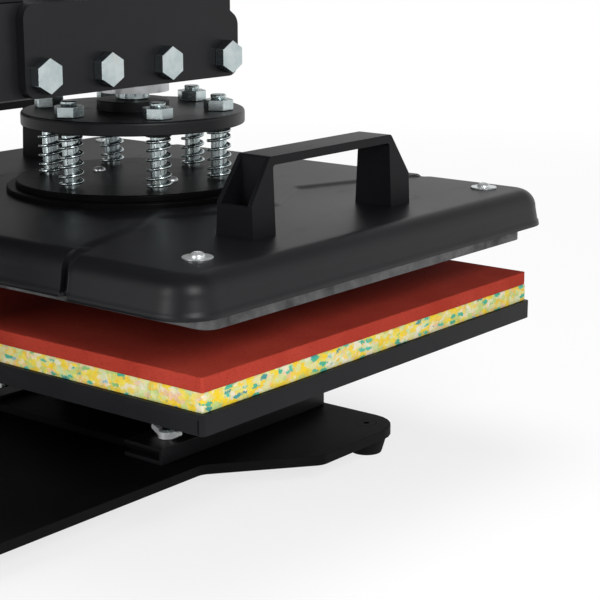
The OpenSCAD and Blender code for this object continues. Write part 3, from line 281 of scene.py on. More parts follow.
# Crumbs of coloured foam pressed together: large crumbs of yellow, cream, pale green and peach, smaller
# ones over part of them, and long bright crumbs where a cell is picked and the point lies near its middle
bondedFoam = {
    "large": 205.0, "small": 360.0, "islands": 200.0, "ragged": (520.0, 0.0045),
    "stretch": (0.8, 0.8, 1.15), "long": (0.72, 0.72, 1.7),
    "body": [(0.0, (0.86, 0.6, 0.02)), (0.17, (0.7, 0.68, 0.34)), (0.31, (0.82, 0.66, 0.07)),
             (0.44, (0.78, 0.72, 0.55)), (0.58, (0.5, 0.62, 0.2)), (0.68, (0.84, 0.54, 0.03)),
             (0.79, (0.8, 0.52, 0.32)), (0.87, (0.6, 0.68, 0.34))],
    "bright": [(0.0, (0.0, 0.4, 0.28)), (0.28, (0.03, 0.46, 0.34)), (0.46, (0.0, 0.2, 0.32)),
               (0.56, (0.18, 0.48, 0.16)), (0.7, (0.22, 0.47, 0.52)), (0.84, (0.0, 0.27, 0.28))],
    "crumbShare": (0.12, 0.6), "picked": 0.32, "reach": (0.4, 0.54), "brightShare": 0.92,
    # hollow: painted shade, mixed into the pores
    "hollow": (0.34, 0.27, 0.1), "pore": (2600.0, 2.0), "pored": (0.6, 0.8), "poreShare": 0.4,
    "relief": 0.5, "depth": 0.0006}


def rebondFoam(name, spec):
    f = Finish(name, Sheen_Weight=0.1, Sheen_Roughness=0.6, Roughness=0.92, Specular_IOR_Level=0.1)
    scale, drift = spec["ragged"]
    noise = f.node("ShaderNodeTexNoise", {}, {"Vector": f.place, "Scale": scale, "Detail": 3.0}, "Color")
    warp = f.node("ShaderNodeVectorMath", {"operation": "SCALE"}, {0: noise, "Scale": drift})
    where, along = [f.node("ShaderNodeVectorMath", {"operation": "ADD"},
                           {0: f.stretched(spec[way]), 1: warp}) for way in ("stretch", "long")]
    body = f.ramp(f.channel(f.cells(spec["large"], "Color", where), "Red"), spec["body"], "CONSTANT")
    smallCell = f.cells(spec["small"], "Color", where)
    crumbs = f.ramp(f.channel(smallCell, "Red"), spec["body"], "CONSTANT")
    least, more = spec["crumbShare"]
    ground = f.mix(least + more * (f.channel(smallCell, "Green") > 0.5), body, crumbs)
    island = f.cells(spec["islands"], "Color", along)
    middle = 1.0 - f.band(f.cells(spec["islands"], "Distance", along), *spec["reach"])
    picked = (f.channel(island, "Green") > 1.0 - spec["picked"]) * middle
    bright = f.ramp(f.channel(island, "Red"), spec["bright"], "CONSTANT")
    coloured = f.mix(spec["brightShare"] * picked, ground, bright)
    # Painted shade: the pores are mixed towards the darker hollow colour
    pore = f.noise(*spec["pore"])
    lumps = f.cells(spec["small"], "Distance", where)
    share = spec["poreShare"]
    return f.set(Base_Color=f.mix(share * f.band(pore, *spec["pored"]), coloured, spec["hollow"]),
                 Normal=f.bump(lumps + share * pore, spec["relief"], spec["depth"]))


blackRubber = {"dark": (0.006, 0.006, 0.0064), "light": (0.011, 0.011, 0.0115), "cloud": (40.0, 4.0),
               "rough": 0.72, "cloudRough": 0.15, "grain": (900.0, 3.0, 0.6), "relief": 0.5,
               "depth": 0.0002, "gloss": 0.12}
gripRubber = {**blackRubber, "dark": (0.008, 0.008, 0.0085), "light": (0.015, 0.015, 0.0155), "rough": 0.8,
              "grain": (1500.0, 3.0, 0.6)}


# Matt rubber: clouded black with open pores
def mattRubber(name, spec):
    f = Finish(name, Specular_IOR_Level=spec["gloss"])
    cloud = f.noise(*spec["cloud"])
    return f.set(Base_Color=f.mix(cloud, spec["dark"], spec["light"]),
                 Roughness=spec["rough"] + spec["cloudRough"] * cloud,
                 Normal=f.bump(f.noise(*spec["grain"]), spec["relief"], spec["depth"]))


specks = {"fine": (4.0, 0.65), "parted": (0.35, 0.65), "rough": 0.12, "relief": 0.25, "depth": 0.0001}


# A plain finish of two close colours, parted by the one noise that also roughens it
def speckled(name, first, second, scale, rough, **uniform):
    f = Finish(name, **uniform)
    speck = f.noise(scale, *specks["fine"])
    return f.set(Base_Color=f.mix(f.band(speck, *specks["parted"]), first, second),
                 Roughness=rough + specks["rough"] * speck,
                 Normal=f.bump(speck, specks["relief"], specks["depth"]))


finishes = {
    "coat": dulledBlack("satinCoat", coat),
    "plate_coat": dulledBlack("plateCoat", plateCoat),
    "matt_coat": dulledBlack("mattCoat", mattCoat),
    "disc_coat": dulledBlack("discCoat", discCoat),
    "rubber": mattRubber("footRubber", blackRubber),
    "zinc": zincPlate("zincPlate", plating),
    "screw_zinc": zincPlate("screwZinc", screwPlating),
    "wing_zinc": zincPlate("wingZinc", wingPlating),
    "bright_steel": turnedMetal("machinedSteel", steel),
    "bronze": turnedMetal("turnedBronze", bronze),
    "silicone": siliconeSponge("siliconeSponge", silicone),
    "foam": rebondFoam("bondedFoam", bondedFoam),
    "aluminium": castAluminium("castAluminium", casting),
    "cover_plastic": dulledBlack("mouldedPlastic", moulded),
    "handle_plastic": dulledBlack("handlePlastic", handleMoulded),
    "panel_plastic": dulledBlack("panelPlastic", panelMoulded),
    "key_plastic": speckled("keyPlastic", (0.2, 0.2, 0.21), (0.25, 0.25, 0.26), 1200.0, 0.42),
    "display_glass": speckled("displayGlass", (0.014, 0.003, 0.003), (0.02, 0.004, 0.004), 20.0, 0.06,
                              Coat_Weight=0.6),
    "grip_foam": mattRubber("gripFoam", gripRubber),
    "element": speckled("elementSheath", (0.16, 0.12, 0.1), (0.3, 0.24, 0.19), 220.0, 0.45, Metallic=0.9),
    "white_print": speckled("whitePrint", (0.55, 0.55, 0.54), (0.66, 0.66, 0.65), 1400.0, 0.5),
    "unlit_segment": speckled("unlitSegment", (0.035, 0.008, 0.008), (0.05, 0.011, 0.01), 300.0, 0.3),
    "board": speckled("fibreBoard", (0.62, 0.58, 0.5), (0.72, 0.69, 0.62), 900.0, 0.9),
}
# Nodes whose finish differs from their slot's
ownFinish = {"lower_plate": "plate_coat", "base_plate": "matt_coat", "platen_stand": "matt_coat",
             "foot_screws": "matt_coat", "lower_disc": "disc_coat", "upper_disc": "disc_coat",
             "handle_left": "handle_plastic", "handle_right": "handle_plastic",
             "cover_screws": "screw_zinc", "pan_screws": "screw_zinc",
             "wing_nut_left": "wing_zinc", "wing_nut_right": "wing_zinc"}
slotOf = {entry["node"]: entry["material_slot"] for entry in frame["record"]["subparts"]}
for nodeName, shown in frame["nodes"].items():
    shown.data.materials.clear()
    shown.data.materials.append(finishes[ownFinish.get(nodeName, slotOf[nodeName])])
print("finishes:", len(finishes))


# Grid quads over rows x columns of points, closed along either way where asked
def gridFaces(rows, columns, closeRows=False, closeColumns=False):
    r = np.arange(rows if closeRows else rows - 1)[:, None]
    c = np.arange(columns if closeColumns else columns - 1)[None, :]
    r2 = (r + 1) % rows
    c2 = (c + 1) % columns
    corners = [r * columns + c, r * columns + c2, r2 * columns + c2, r2 * columns + c]
    return np.stack(corners, -1).reshape(-1, 4)


# Several point grids put together into one list of points and quads
def joined(parts):
    points = []
    faces = []
    count = 0
    for grid, quads in parts:
        flat = np.asarray(grid, float).reshape(-1, 3)
        points.append(flat)
        faces.append(np.asarray(quads) + count)
        count += len(flat)
    return np.concatenate(points), np.concatenate(faces)


# A mesh of the points and quads, with equal points merged and its faces turned outwards
def makeMesh(name, points, faces, merge=1e-6):
    mesh = bpy.data.meshes.new(name)
    mesh.from_pydata(points.tolist(), [], faces.tolist())
    work = bmesh.new()
    work.from_mesh(mesh)
    bmesh.ops.remove_doubles(work, verts=work.verts, dist=merge)
    bmesh.ops.recalc_face_normals(work, faces=work.faces)
    work.to_mesh(mesh)
    work.free()
    return mesh


# A finished piece on its body; edges bent by more than sharp degrees stay hard
def addPiece(name, mesh, body, slot, replaces=(), sharp=40.0, finish=None):
    piece = bpy.data.objects.new(name, mesh)
    scene.collection.objects.link(piece)
    mesh.materials.clear()
    mesh.materials.append(finishes[finish or ownFinish.get(replaces[0], slot)])
    mesh.shade_smooth()
    if sharp:
        mesh.set_sharp_from_angle(angle=math.radians(sharp))
    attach(piece, body)
    if replaces:
        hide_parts(*replaces)
    return piece


# The same for a piece given as point grids
def addForm(name, parts, *place, **look):
    return addPiece(name, makeMesh(name, *joined(parts)), *place, **look)


bodyOf = {node: body for body, nodes in frame["record"]["behaviour"]["bodies"].items() for node in nodes}
easing = {"merge": 2e-6, "flat": 0.6, "segments": 2, "angle": 32.0, "foldSegments": 6, "foldRun": 20.0}


# A node's own form with its hard edges eased: copied, welded, flat faces joined, then bevelled; the edges
# along X at the top of a folded sheet are rolled first, to the radius of the fold
def easedCopy(node, width, fold=0.0):
    mesh = frame["nodes"][node].data.copy()
    work = bmesh.new()
    work.from_mesh(mesh)
    bmesh.ops.remove_doubles(work, verts=work.verts, dist=easing["merge"])
    flat = math.radians(easing["flat"])
    bmesh.ops.dissolve_limit(work, angle_limit=flat, verts=work.verts, edges=work.edges)
    if fold:
        top = max(v.co.z for v in work.verts)
        folded = [e for e in work.edges if min(v.co.z for v in e.verts) > top - 1e-5
                  and abs(e.verts[0].co.x - e.verts[1].co.x) > easing["foldRun"] * fold]
        bmesh.ops.bevel(work, geom=folded, offset=fold, segments=easing["foldSegments"], profile=0.5,
                        affect="EDGES")
    work.to_mesh(mesh)
    work.free()
    if "custom_normal" in mesh.attributes:
        mesh.attributes.remove(mesh.attributes["custom_normal"])
    piece = addPiece(node + ".eased", mesh, bodyOf[node], slotOf[node], [node], sharp=None)
    bevel = piece.modifiers.new("easedEdges", "BEVEL")
    bevel.width = width
    bevel.segments = easing["segments"]
    bevel.limit_method = "ANGLE"
    bevel.angle_limit = math.radians(easing["angle"])
    bevel.harden_normals = True
    return piece


# Width of the eased edge in m, and the nodes that have it
eased = {
    0.0012: ["base_plate", "swing_sleeve", "column"],
    0.0016: ["handle_left", "handle_right"],
    0.0010: ["arm_beam", "guide_housing", "lever_yoke", "cheek_left", "cheek_right", "fork_left",
             "fork_right", "crosshead", "stop_collar"],
    0.0007: ["rail_left", "rail_right", "platen_stand", "heater_plate", "control_box", "box_bracket",
             "spring_flange", "fascia", "pressure_knob"],
    0.0004: ["lower_disc", "upper_disc", "cheek_bolts", "pivot_bolts", "column_bolts", "spring_nuts",
             "box_back", "mains_inlet", "rocker_switch", "key_set", "key_up", "key_down", "wing_nut_left",
             "wing_nut_right", "platen_gland", "box_gland", "spring_collars", "rubber_feet"],
}
foldedSheet = {"node": "lower_plate", "width": 0.0004, "fold": 0.0028}
for width, nodes in eased.items():
    for node in nodes:
        easedCopy(node, width)
easedCopy(**foldedSheet)
print("eased edges:", sum(len(nodes) for nodes in eased.values()) + 1)


# Smooth step: three times the square of the way less twice its cube
def smoothStep(x):
    t = np.clip(x, 0.0, 1.0)
    return t * t * (3.0 - 2.0 * t)


# Rounded rectangle as four straight sides through the given steps and four corner arcs; at an inset equal
# to the corner radius each arc closes to a point and the sides meet the rectangle of the inner grid
def roundedLoop(alongX, alongY, radius, inset, arc):
    inX = alongX[-1]
    inY = alongY[-1]
    r = max(radius - inset, 0.0)
    turn = np.linspace(0.0, math.pi / 2, arc + 2)[1:-1]
    sides = []
    for k, (cx, cy) in enumerate([(inX, inY), (-inX, inY), (-inX, -inY), (inX, -inY)]):
        a = turn + k * math.pi / 2
        corner = np.stack([cx + r * np.cos(a), cy + r * np.sin(a)], -1)
        side = 1 - 2 * (k // 2)
        if k % 2:
            run = np.stack([-side * alongX, np.full(len(alongX), side * (inY + r))], -1)
        else:
            run = np.stack([np.full(len(alongY), side * (inX + r)), side * alongY], -1)
        sides += [run, corner]
    return np.concatenate(sides)


# The loop swept through a profile of (inset, height), with a flat grid inside the last inset
def trayForm(alongX, alongY, radius, profile, arc):
    around = 2 * (len(alongX) + len(alongY)) + 4 * arc
    rings = [np.column_stack([roundedLoop(alongX, alongY, radius, inset, arc), np.full(around, z)])
             for inset, z in profile]
    gx, gy = np.meshgrid(alongX, alongY)
    return np.stack(rings), np.stack([gx, gy, np.full_like(gx, profile[-1][1])], -1)


# Even steps from -half to half, of about the given length
def evenSteps(half, step):
    return np.linspace(-half, half, int(round(2 * half / step)) + 1)


cover = {"halfX": 0.198, "halfY": 0.167, "corner": 0.022, "edge": 0.011, "draft": 0.0025, "low": 0.136,
         "high": 0.1575, "wall": 0.0024, "raise": 0.0014, "blend": 0.0026, "slant": 0.42, "crown": 0.0004,
         "fullFrom": 1.15, "setBack": 0.0035, "endFrom": 0.03, "endOver": 0.022, "crease": 0.1095,
         "roll": 0.0055, "step": 0.0022, "spare": 0.001, "flatFrom": 0.016,
         "lip": (0.0034, 0.0008, 0.0005),  # height, height of its slope, how far it stands out
         "slot": (0.0042, 0.0035, 0.0005),  # width, depth, width of its steep side
         "panelY": (0.0, 0.012, 0.062, 0.167), "panelX": (0.104, 0.104, 0.078, 0.113),
         "wallSteps": 7, "edgeSteps": 13, "flatSteps": 4, "rollSteps": 9, "arcSteps": 9}


# Section of the cover's edge as (inset, height): the lip, the drafted wall, a quarter round and the flat
def coverSection(spec):
    edge = spec["edge"]
    topZ = spec["high"] - edge
    lipHigh, lipSlope, lipOut = spec["lip"]
    rise = np.linspace(lipHigh, topZ - spec["low"], spec["wallSteps"])[:-1]
    wallZ = np.concatenate([[0.0, lipHigh - lipSlope], rise])
    wallIn = lipOut * (wallZ >= lipHigh) + (spec["draft"] - lipOut) * wallZ / (topZ - spec["low"])
    section = list(zip(wallIn, spec["low"] + wallZ))
    section += [(spec["draft"] + edge * (1 - math.cos(t)), topZ + edge * math.sin(t))
                for t in np.linspace(0.0, math.pi / 2, spec["edgeSteps"])]
    flat = np.linspace(spec["flatFrom"], spec["corner"], spec["flatSteps"])
    return section + [(d, spec["high"]) for d in flat]


# Lid: a drafted, rounded tray; inside the waisted panel it rises by a smooth step across the outline, and
# the panel's ends stand back behind the corner blocks, whose edges roll in as the square of the way to the
# bottom of a narrow slot
def makeCover(spec):
    alongX = evenSteps(spec["halfX"] - spec["corner"], spec["step"])
    alongY = evenSteps(spec["halfY"] - spec["corner"], spec["step"])
    quarter = np.linspace(0.0, math.pi / 2, spec["rollSteps"])
    rolled = spec["crease"] + spec["roll"] * (1 - np.sin(quarter))
    slotWide, slotDeep, slotSide = spec["slot"]
    slotted = spec["crease"] - slotWide + np.array([0.0, slotSide, slotWide / 2])
    across = np.abs(alongX)
    clear = (across < slotted[0] - spec["spare"]) | (across > rolled[0] + spec["spare"])
    alongX = np.sort(np.concatenate([alongX[clear], rolled, -rolled, slotted, -slotted]))
    ringGrid, flat = trayForm(alongX, alongY, spec["corner"], coverSection(spec), spec["arcSteps"])
    loops, around = ringGrid.shape[:2]
    points, faces = joined([(ringGrid, gridFaces(loops, around, closeColumns=True)),
                            (flat, gridFaces(len(alongY), len(alongX)))])
    x, y, z = points.T
    lean = np.cos(np.arctan(spec["slant"]))
    inside = (np.interp(np.abs(y), spec["panelY"], spec["panelX"]) - np.abs(x)) * lean
    panel = smoothStep(0.5 + 0.5 * inside / spec["blend"])
    tall = (z - spec["low"]) / (spec["high"] - spec["low"])
    nearEnd = smoothStep((np.abs(y) - spec["halfY"] + spec["endFrom"]) / spec["endOver"])
    crown = spec["crown"] * (1 - (x / spec["halfX"]) ** 2) * (1 - (y / spec["halfY"]) ** 2)
    z = z + (spec["raise"] * panel + crown) * smoothStep(tall * spec["fullFrom"])
    roll = np.clip(1 + (spec["crease"] - np.abs(x)) / spec["roll"], 0.0, 1.0)
    sunk = np.clip((np.abs(x) - slotted[0]) / slotSide, 0.0, 1.0) * roll ** 2
    y = y - np.sign(y) * (spec["setBack"] * roll ** 2 + slotDeep * sunk) * nearEnd
    mesh = makeMesh("platenCover", np.column_stack([x, y + pressY, z]), faces, merge=2e-6)
    piece = addPiece("platenCover", mesh, "platen", "cover_plastic", ["platen_cover"], sharp=30.0)
    shell = piece.modifiers.new("wall", "SOLIDIFY")
    shell.thickness = spec["wall"]
    shell.offset = -1.0
    return piece


makeCover(cover)
print("cover made")


waveSum = {"count": 9, "spread": (0.6, 1.7)}


# Noise on whole arrays: a few sine waves of fixed directions and phases, summed
def waves(points, length, seed):
    count = waveSum["count"]
    chance = np.random.default_rng(seed)
    direction = chance.normal(size=(count, 3))
    direction /= np.linalg.norm(direction, axis=1)[:, None]
    pitch = length * chance.uniform(*waveSum["spread"], count)
    phase = chance.uniform(0, 2 * math.pi, count)
    return np.sin(points @ (direction / pitch[:, None]).T * 2 * math.pi + phase).sum(1) / count


pads = {
    "siliconePad": {"node": "silicone_pad", "slot": "silicone", "z": (0.098, 0.106), "ease": 0.0006,
                    "ragged": 0.00012, "grain": 0.012, "dip": 0.00025, "fill": 0.9, "step": 0.0019},
    "foamPad": {"node": "foam_pad", "slot": "foam", "z": (0.0877, 0.098), "ease": 0.0005,
                "ragged": 0.0011, "grain": 0.0042, "dip": 0.0, "fill": 0.8, "step": 0.0017},
}
bothPads = {"half": (0.190, 0.150), "corner": 0.0012, "fade": 0.0006, "start": 0.15, "fine": 0.45,
            "fineShare": 0.6, "most": 0.25, "dipLength": 0.09, "roughSeed": 3, "fineSeed": 5, "dipSeed": 8,
            "easeSteps": 4, "upSteps": 9, "arcSteps": 3}


# A sheet of foam: a rounded loop swept up its edge, which is roughened by the waves, and closed by two
# grids; the top one dips with longer waves
def makePad(name, spec, shared):
    corner = shared["corner"]
    low, high = spec["z"]
    e = spec["ease"]
    quarter = np.linspace(0, math.pi / 2, shared["easeSteps"])
    up = np.linspace(low + e, high - e, shared["upSteps"])
    section = [(corner, low)]
    section += [(e * (1 - math.sin(k)), low + e * (1 - math.cos(k))) for k in quarter]
    section += [(0.0, z) for z in up[1:-1]]
    section += [(e * (1 - math.cos(k)), high - e * (1 - math.sin(k))) for k in quarter]
    section += [(corner, high)]
    alongX, alongY = [evenSteps(half - corner, spec["step"]) for half in shared["half"]]
    ringGrid, flat = trayForm(alongX, alongY, corner, section, shared["arcSteps"])
    loops, around = ringGrid.shape[:2]
    quads = gridFaces(len(alongY), len(alongX))
    points, faces = joined([(ringGrid, gridFaces(loops, around, closeColumns=True)), (flat, quads),
                            (flat * [1, 1, 0] + [0, 0, low], quads[:, ::-1])])
    height = points[:, 2].copy()
    atEdge = np.abs(points[:, :2]) > np.array(shared["half"]) - corner - 1e-5
    outward = np.where(atEdge, np.sign(points[:, :2]), 0.0)
    fromLow = smoothStep((height - low) / shared["fade"] + shared["start"])
    fromHigh = smoothStep((high - height) / shared["fade"] + shared["start"])
    fine = waves(points, spec["grain"] * shared["fine"], shared["fineSeed"])
    rough = waves(points, spec["grain"], shared["roughSeed"]) + shared["fineShare"] * fine
    shift = spec["ragged"] * np.minimum(rough, shared["most"]) * (fromLow * fromHigh)
    points[:, :2] += outward * shift[:, None]
    hollow = 0.5 + 0.5 * waves(points, shared["dipLength"], shared["dipSeed"])
    points[:, 2] -= (height > high - 1e-6) * spec["dip"] * hollow
    points[:, 1] += pressY
    mesh = makeMesh(name, points, faces, merge=2e-6)
    piece = addPiece(name, mesh, "lower_platen", spec["slot"], [spec["node"]], sharp=50.0)
    return piece


for padName, padSpec in pads.items():
    makePad(padName, padSpec, bothPads)
print("pads made")

springs = {"count": 6, "ring": 0.053, "start": 90.0, "tips": -51.0, "outer": 0.015, "wire": 0.0019,
           "low": 0.1663, "length": 0.031, "endPitch": 0.0032, "open": 4, "perTurn": 28, "around": 12,
           "float": 0.006}


# Places of the bolts and their springs: even turns about the press axis, as (turn, x, y)
def springPlaces(spec):
    turn = np.radians(spec["start"] + 360 / spec["count"] * np.arange(spec["count"]))
    return np.stack([turn, spec["ring"] * np.cos(turn), spec["ring"] * np.sin(turn) + pressY], -1)


# Round wire carried along a helix whose rise is slow over the two end turns, and even between them
def makeSprings(spec):
    turns = spec["open"] + 2
    t = np.linspace(0, turns, turns * spec["perTurn"] + 1)
    pitch = (spec["length"] - spec["wire"] - 2 * spec["endPitch"]) / spec["open"]
    rise = np.interp(t, [0, 1, turns - 1, turns],
                     np.cumsum([0, spec["endPitch"], spec["open"] * pitch, spec["endPitch"]]))
    radius = (spec["outer"] - spec["wire"]) / 2
    a = 2 * math.pi * t[:, None] + math.radians(spec["tips"])
    k = np.linspace(0, 2 * math.pi, spec["around"], endpoint=False)[None, :]
    half = spec["wire"] / 2
    r = radius + half * np.cos(k)
    z = spec["low"] + half + rise[:, None] + half * np.sin(k)
    coil = np.stack([r * np.cos(a), r * np.sin(a), z], -1)
    quads = gridFaces(len(t), spec["around"], closeColumns=True)
    capLow, capHigh = [np.stack([end, np.broadcast_to(end.mean(0), end.shape)])
                       for end in (coil[0], coil[-1])]
    capQuads = gridFaces(2, spec["around"], closeColumns=True)
    parts = []
    for turn, x, y in springPlaces(spec):
        middle = np.array([x, y, 0])
        parts += [(coil + middle, quads), (capLow + middle, capQuads), (capHigh + middle, capQuads)]
    piece = addForm("platenSprings", parts, "platen", "zinc", ["platen_springs"], sharp=60.0)
    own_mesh(piece)
    return piece


makeSprings(springs)
print("springs made")


# Sizes in a head of radius and height 1: rings to the rim and on it, the slots' half width and reach
recess = {"rings": 26, "rimFrom": 0.7, "rimStep": 0.02, "rimRings": 10, "around": 72, "width": 0.09,
          "widthEdge": 0.05, "reach": 0.44, "reachEdge": 0.09, "depth": 0.26, "dome": 2.6, "spread": 0.995}


# Pan head with a cross recess, on a polar grid: a dome whose height drops inside two crossed tapering slots
def crossHead(radius, height):
    spec = recess
    around = spec["around"]
    q = np.concatenate([np.linspace(0.0, spec["rimFrom"], spec["rings"]),
                        np.linspace(spec["rimFrom"] + spec["rimStep"], 1.0, spec["rimRings"])])[:, None]
    a = np.linspace(0, 2 * math.pi, around, endpoint=False)[None, :]
    x = q * np.cos(a)
    y = q * np.sin(a)
    dome = np.sqrt(np.clip(1 - (spec["spread"] * q) ** spec["dome"], 0, 1)) * np.ones_like(a)
    across = np.minimum(np.abs(x), np.abs(y))
    along = np.maximum(np.abs(x), np.abs(y))
    cut = (smoothStep((spec["width"] - across) / spec["widthEdge"])
           * smoothStep((spec["reach"] - along) / spec["reachEdge"]))
    z = dome - spec["depth"] * cut
    grid = np.stack([x * radius, y * radius, z * height], -1)
    foot = np.stack([grid[-1], grid[-1] * [1, 1, 0]])
    return [(part, gridFaces(len(part), around, closeColumns=True)) for part in (grid, foot)]


# Ring of a given profile of (radius, height) turned about Z
def turned(profile, around=64):
    a = np.linspace(0, 2 * math.pi, around, endpoint=False)[None, :]
    r, z = np.array(profile, float).T
    level = np.broadcast_to(z[:, None], (len(r), around))
    grid = np.stack([r[:, None] * np.cos(a), r[:, None] * np.sin(a), level], -1)
    return [(grid, gridFaces(len(r), around, closeColumns=True))]


# Parts turned about Z and then shifted
def moved(parts, x, y, z, turn=0.0):
    c, s = math.cos(turn), math.sin(turn)
    place = np.array([[c, s, 0], [-s, c, 0], [0, 0, 1]])
    return [(np.asarray(grid) @ place + np.array([x, y, z]), faces) for grid, faces in parts]


screws = {"coverAt": (0.165, 0.1315), "coverShift": -0.007, "coverTop": 0.1575,
          "head": (0.004, 0.0025), "washer": (0.0022, 0.008, 0.001), "washerEase": 0.00025,
          "shank": (0.9, 0.012), "shankUp": 0.0005,
          "discAt": 0.031, "discTop": 0.1663, "handleAt": (0.145, 0.06175), "handleShift": 0.0025,
          "handleFloor": 0.17, "panShank": (0.0018, 0.009), "panUp": 0.0004,
          "seed": 11, "turnMost": 1.5}


# Shank of a screw: a rod turned about Z, from below the head up into it
def shankOf(radius, length, up):
    return turned([(0, -length), (radius, -length), (radius, up), (0, up)], 24)


# Screws: heads with shanks at the cover's corners, on eased washers, and on the discs and handles without
def makeScrews(spec):
    inner, outer, thick = spec["washer"]
    e = spec["washerEase"]
    ring = turned([(inner, 0), (outer - e, 0), (outer, e), (outer, thick - e), (outer - e, thick),
                   (inner, thick), (inner, 0)])
    share, length = spec["shank"]
    shank = shankOf(inner * share, length, spec["shankUp"])
    chance = np.random.default_rng(spec["seed"])
    signs = [(sx, sy) for sx in (-1, 1) for sy in (-1, 1)]
    corner = []
    across, along = spec["coverAt"]
    for sx, sy in signs:
        head = moved(crossHead(*spec["head"]), 0, 0, thick, chance.uniform(0, spec["turnMost"]))
        at = (sx * across, sy * along + spec["coverShift"] + pressY, spec["coverTop"])
        corner += moved(ring + head + shank, *at)
    addForm("coverScrews", corner, "platen", "zinc", ["cover_screws"], sharp=35.0)
    panShank = shankOf(*spec["panShank"], spec["panUp"])
    pans = []
    places = [(sx * spec["discAt"], 0.0, spec["discTop"]) for sx in (-1, 1)]
    across, along = spec["handleAt"]
    places += [(sx * across, sy * along + spec["handleShift"], spec["handleFloor"]) for sx, sy in signs]
    for x, y, z in places:
        pan = crossHead(*spec["head"]) + panShank
        pans += moved(pan, x, y + pressY, z, chance.uniform(0, spec["turnMost"]))
    addForm("panScrews", pans, "platen", "zinc", ["pan_screws"], sharp=35.0)


makeScrews(screws)
print("screws made")


thread = {"chamfer": 0.0006, "perPitch": 10, "roundness": 1.3}


# Rod with a rolled thread: the radius is a rounded ridge of the height less the turned angle; the thread
# fades out at both ends of its run, and the ends are chamfered
def threadedRod(radius, low, high, threadLow, threadHigh, pitch, depth, around=40):
    chamfer = thread["chamfer"]
    steps = max(int((threadHigh - threadLow) / pitch * thread["perPitch"]), 4)
    z = np.concatenate([[low, low], np.linspace(low + chamfer, threadLow, 4),
                        np.linspace(threadLow, threadHigh, steps),
                        np.linspace(threadHigh, high - chamfer, 4), [high, high]])
    core = np.full_like(z, radius)
    core[[0, -1]] = 0.0
    core[[1, -2]] = radius - chamfer
    a = np.linspace(0, 2 * math.pi, around, endpoint=False)[None, :]
    ridge = np.abs(((z[:, None] / pitch - a / (2 * math.pi)) % 1.0) * 2 - 1) ** thread["roundness"]
    fade = smoothStep((z - threadLow) / pitch) * smoothStep((threadHigh - z) / pitch)
    r = core[:, None] - depth * ridge * fade[:, None]
    grid = np.stack([r * np.cos(a), r * np.sin(a), np.broadcast_to(z[:, None], r.shape)], -1)
    return [(grid, gridFaces(len(z), around, closeColumns=True))]


rods = {"bolt": {"radius": 0.0048, "low": 0.159, "high": 0.2172, "threadLow": 0.2, "threadHigh": 0.216,
                 "pitch": 0.00125, "depth": 0.0006},
        "stud": {"radius": 0.003, "low": 0.0208, "high": 0.0335, "threadLow": 0.0258, "threadHigh": 0.0325,
                 "pitch": 0.001, "depth": 0.00045},
        "studAt": (0.077, 0.057)}


# Bolts through the springs, and the two studs that clamp the lower platen: threaded rods in their places
def makeRods(spec):
    bolt = threadedRod(**spec["bolt"])
    bolts = []
    for turn, x, y in springPlaces(springs):
        bolts += moved(bolt, x, y, 0, turn)
    addForm("springBolts", bolts, "platen", "zinc", ["spring_bolts"])
    stud = threadedRod(**spec["stud"])
    x, y = spec["studAt"]
    studs = moved(stud, -x, y + pressY, 0) + moved(stud, x, y + pressY, 0)
    addForm("clampStuds", studs, "lower_platen", "zinc", ["clamp_studs"])


makeRods(rods)

spindle = {"keeper": (0.013, 0.1953, 0.1993), "journal": 0.008, "radius": 0.01, "shoulder": 0.2137,
           "high": 0.3427, "thread": (0.3, 0.3415), "pitch": 0.003, "depth": 0.0013}


# Spindle of the knob: a keeper disc and a journal turned about Z, and a coarse rolled thread above them
def makeSpindle(spec):
    wide, low, top = spec["keeper"]
    journal = spec["journal"]
    shoulder = spec["shoulder"]
    foot = turned([(0, low), (wide, low), (wide, top), (journal, top), (journal, shoulder)])
    screw = threadedRod(spec["radius"], shoulder, spec["high"], *spec["thread"], spec["pitch"],
                        spec["depth"], around=64)
    parts = moved(foot + screw, 0, pressY, 0)
    addForm("pressureSpindle", parts, bodyOf["spindle"], slotOf["spindle"], ["spindle"])


makeSpindle(spindle)
print("rods made")

weld = {"at": (0.0, 0.1735, 0.026), "radius": 0.025, "bead": 0.0032, "ripples": 46, "ripple": 0.16,
        "perRipple": 8, "sink": 0.0002, "steps": 7, "waver": (0.12, 5), "lean": 0.25,
        "swell": (0.08, 3, 1.0)}


# Weld bead: a quarter round carried about the column, shrinking along each ripple as the square of the
# way; the ripples waver, lean and swell with slow sines of the turn
def makeWeld(spec):
    sink = spec["sink"]
    waver, waverTurns = spec["waver"]
    swell, swellTurns, swellFrom = spec["swell"]
    a = np.linspace(0, 2 * math.pi, spec["ripples"] * spec["perRipple"], endpoint=False)[None, :]
    t = np.linspace(0, math.pi / 2, spec["steps"])[:, None]
    uneven = waver * np.sin(waverTurns * a)
    saw = (a * spec["ripples"] / (2 * math.pi) + uneven + spec["lean"] * np.cos(t)) % 1.0
    bead = spec["bead"] * (1 - spec["ripple"] * saw ** 2 + swell * np.sin(swellTurns * a + swellFrom))
    core = spec["radius"] - sink
    r = core + bead * np.cos(t)
    outer = np.stack([r * np.cos(a), r * np.sin(a), bead * np.sin(t) - sink], -1)
    inner = np.stack([core * np.cos(a), core * np.sin(a), np.full_like(a, -sink)], -1)
    grid = np.concatenate([inner, outer, inner]) + np.array(spec["at"])
    parts = [(grid, gridFaces(len(grid), grid.shape[1], closeColumns=True))]
    addForm("columnWeld", parts, bodyOf["column"], slotOf["column"], sharp=50.0, finish="coat")


makeWeld(weld)
print("weld made")

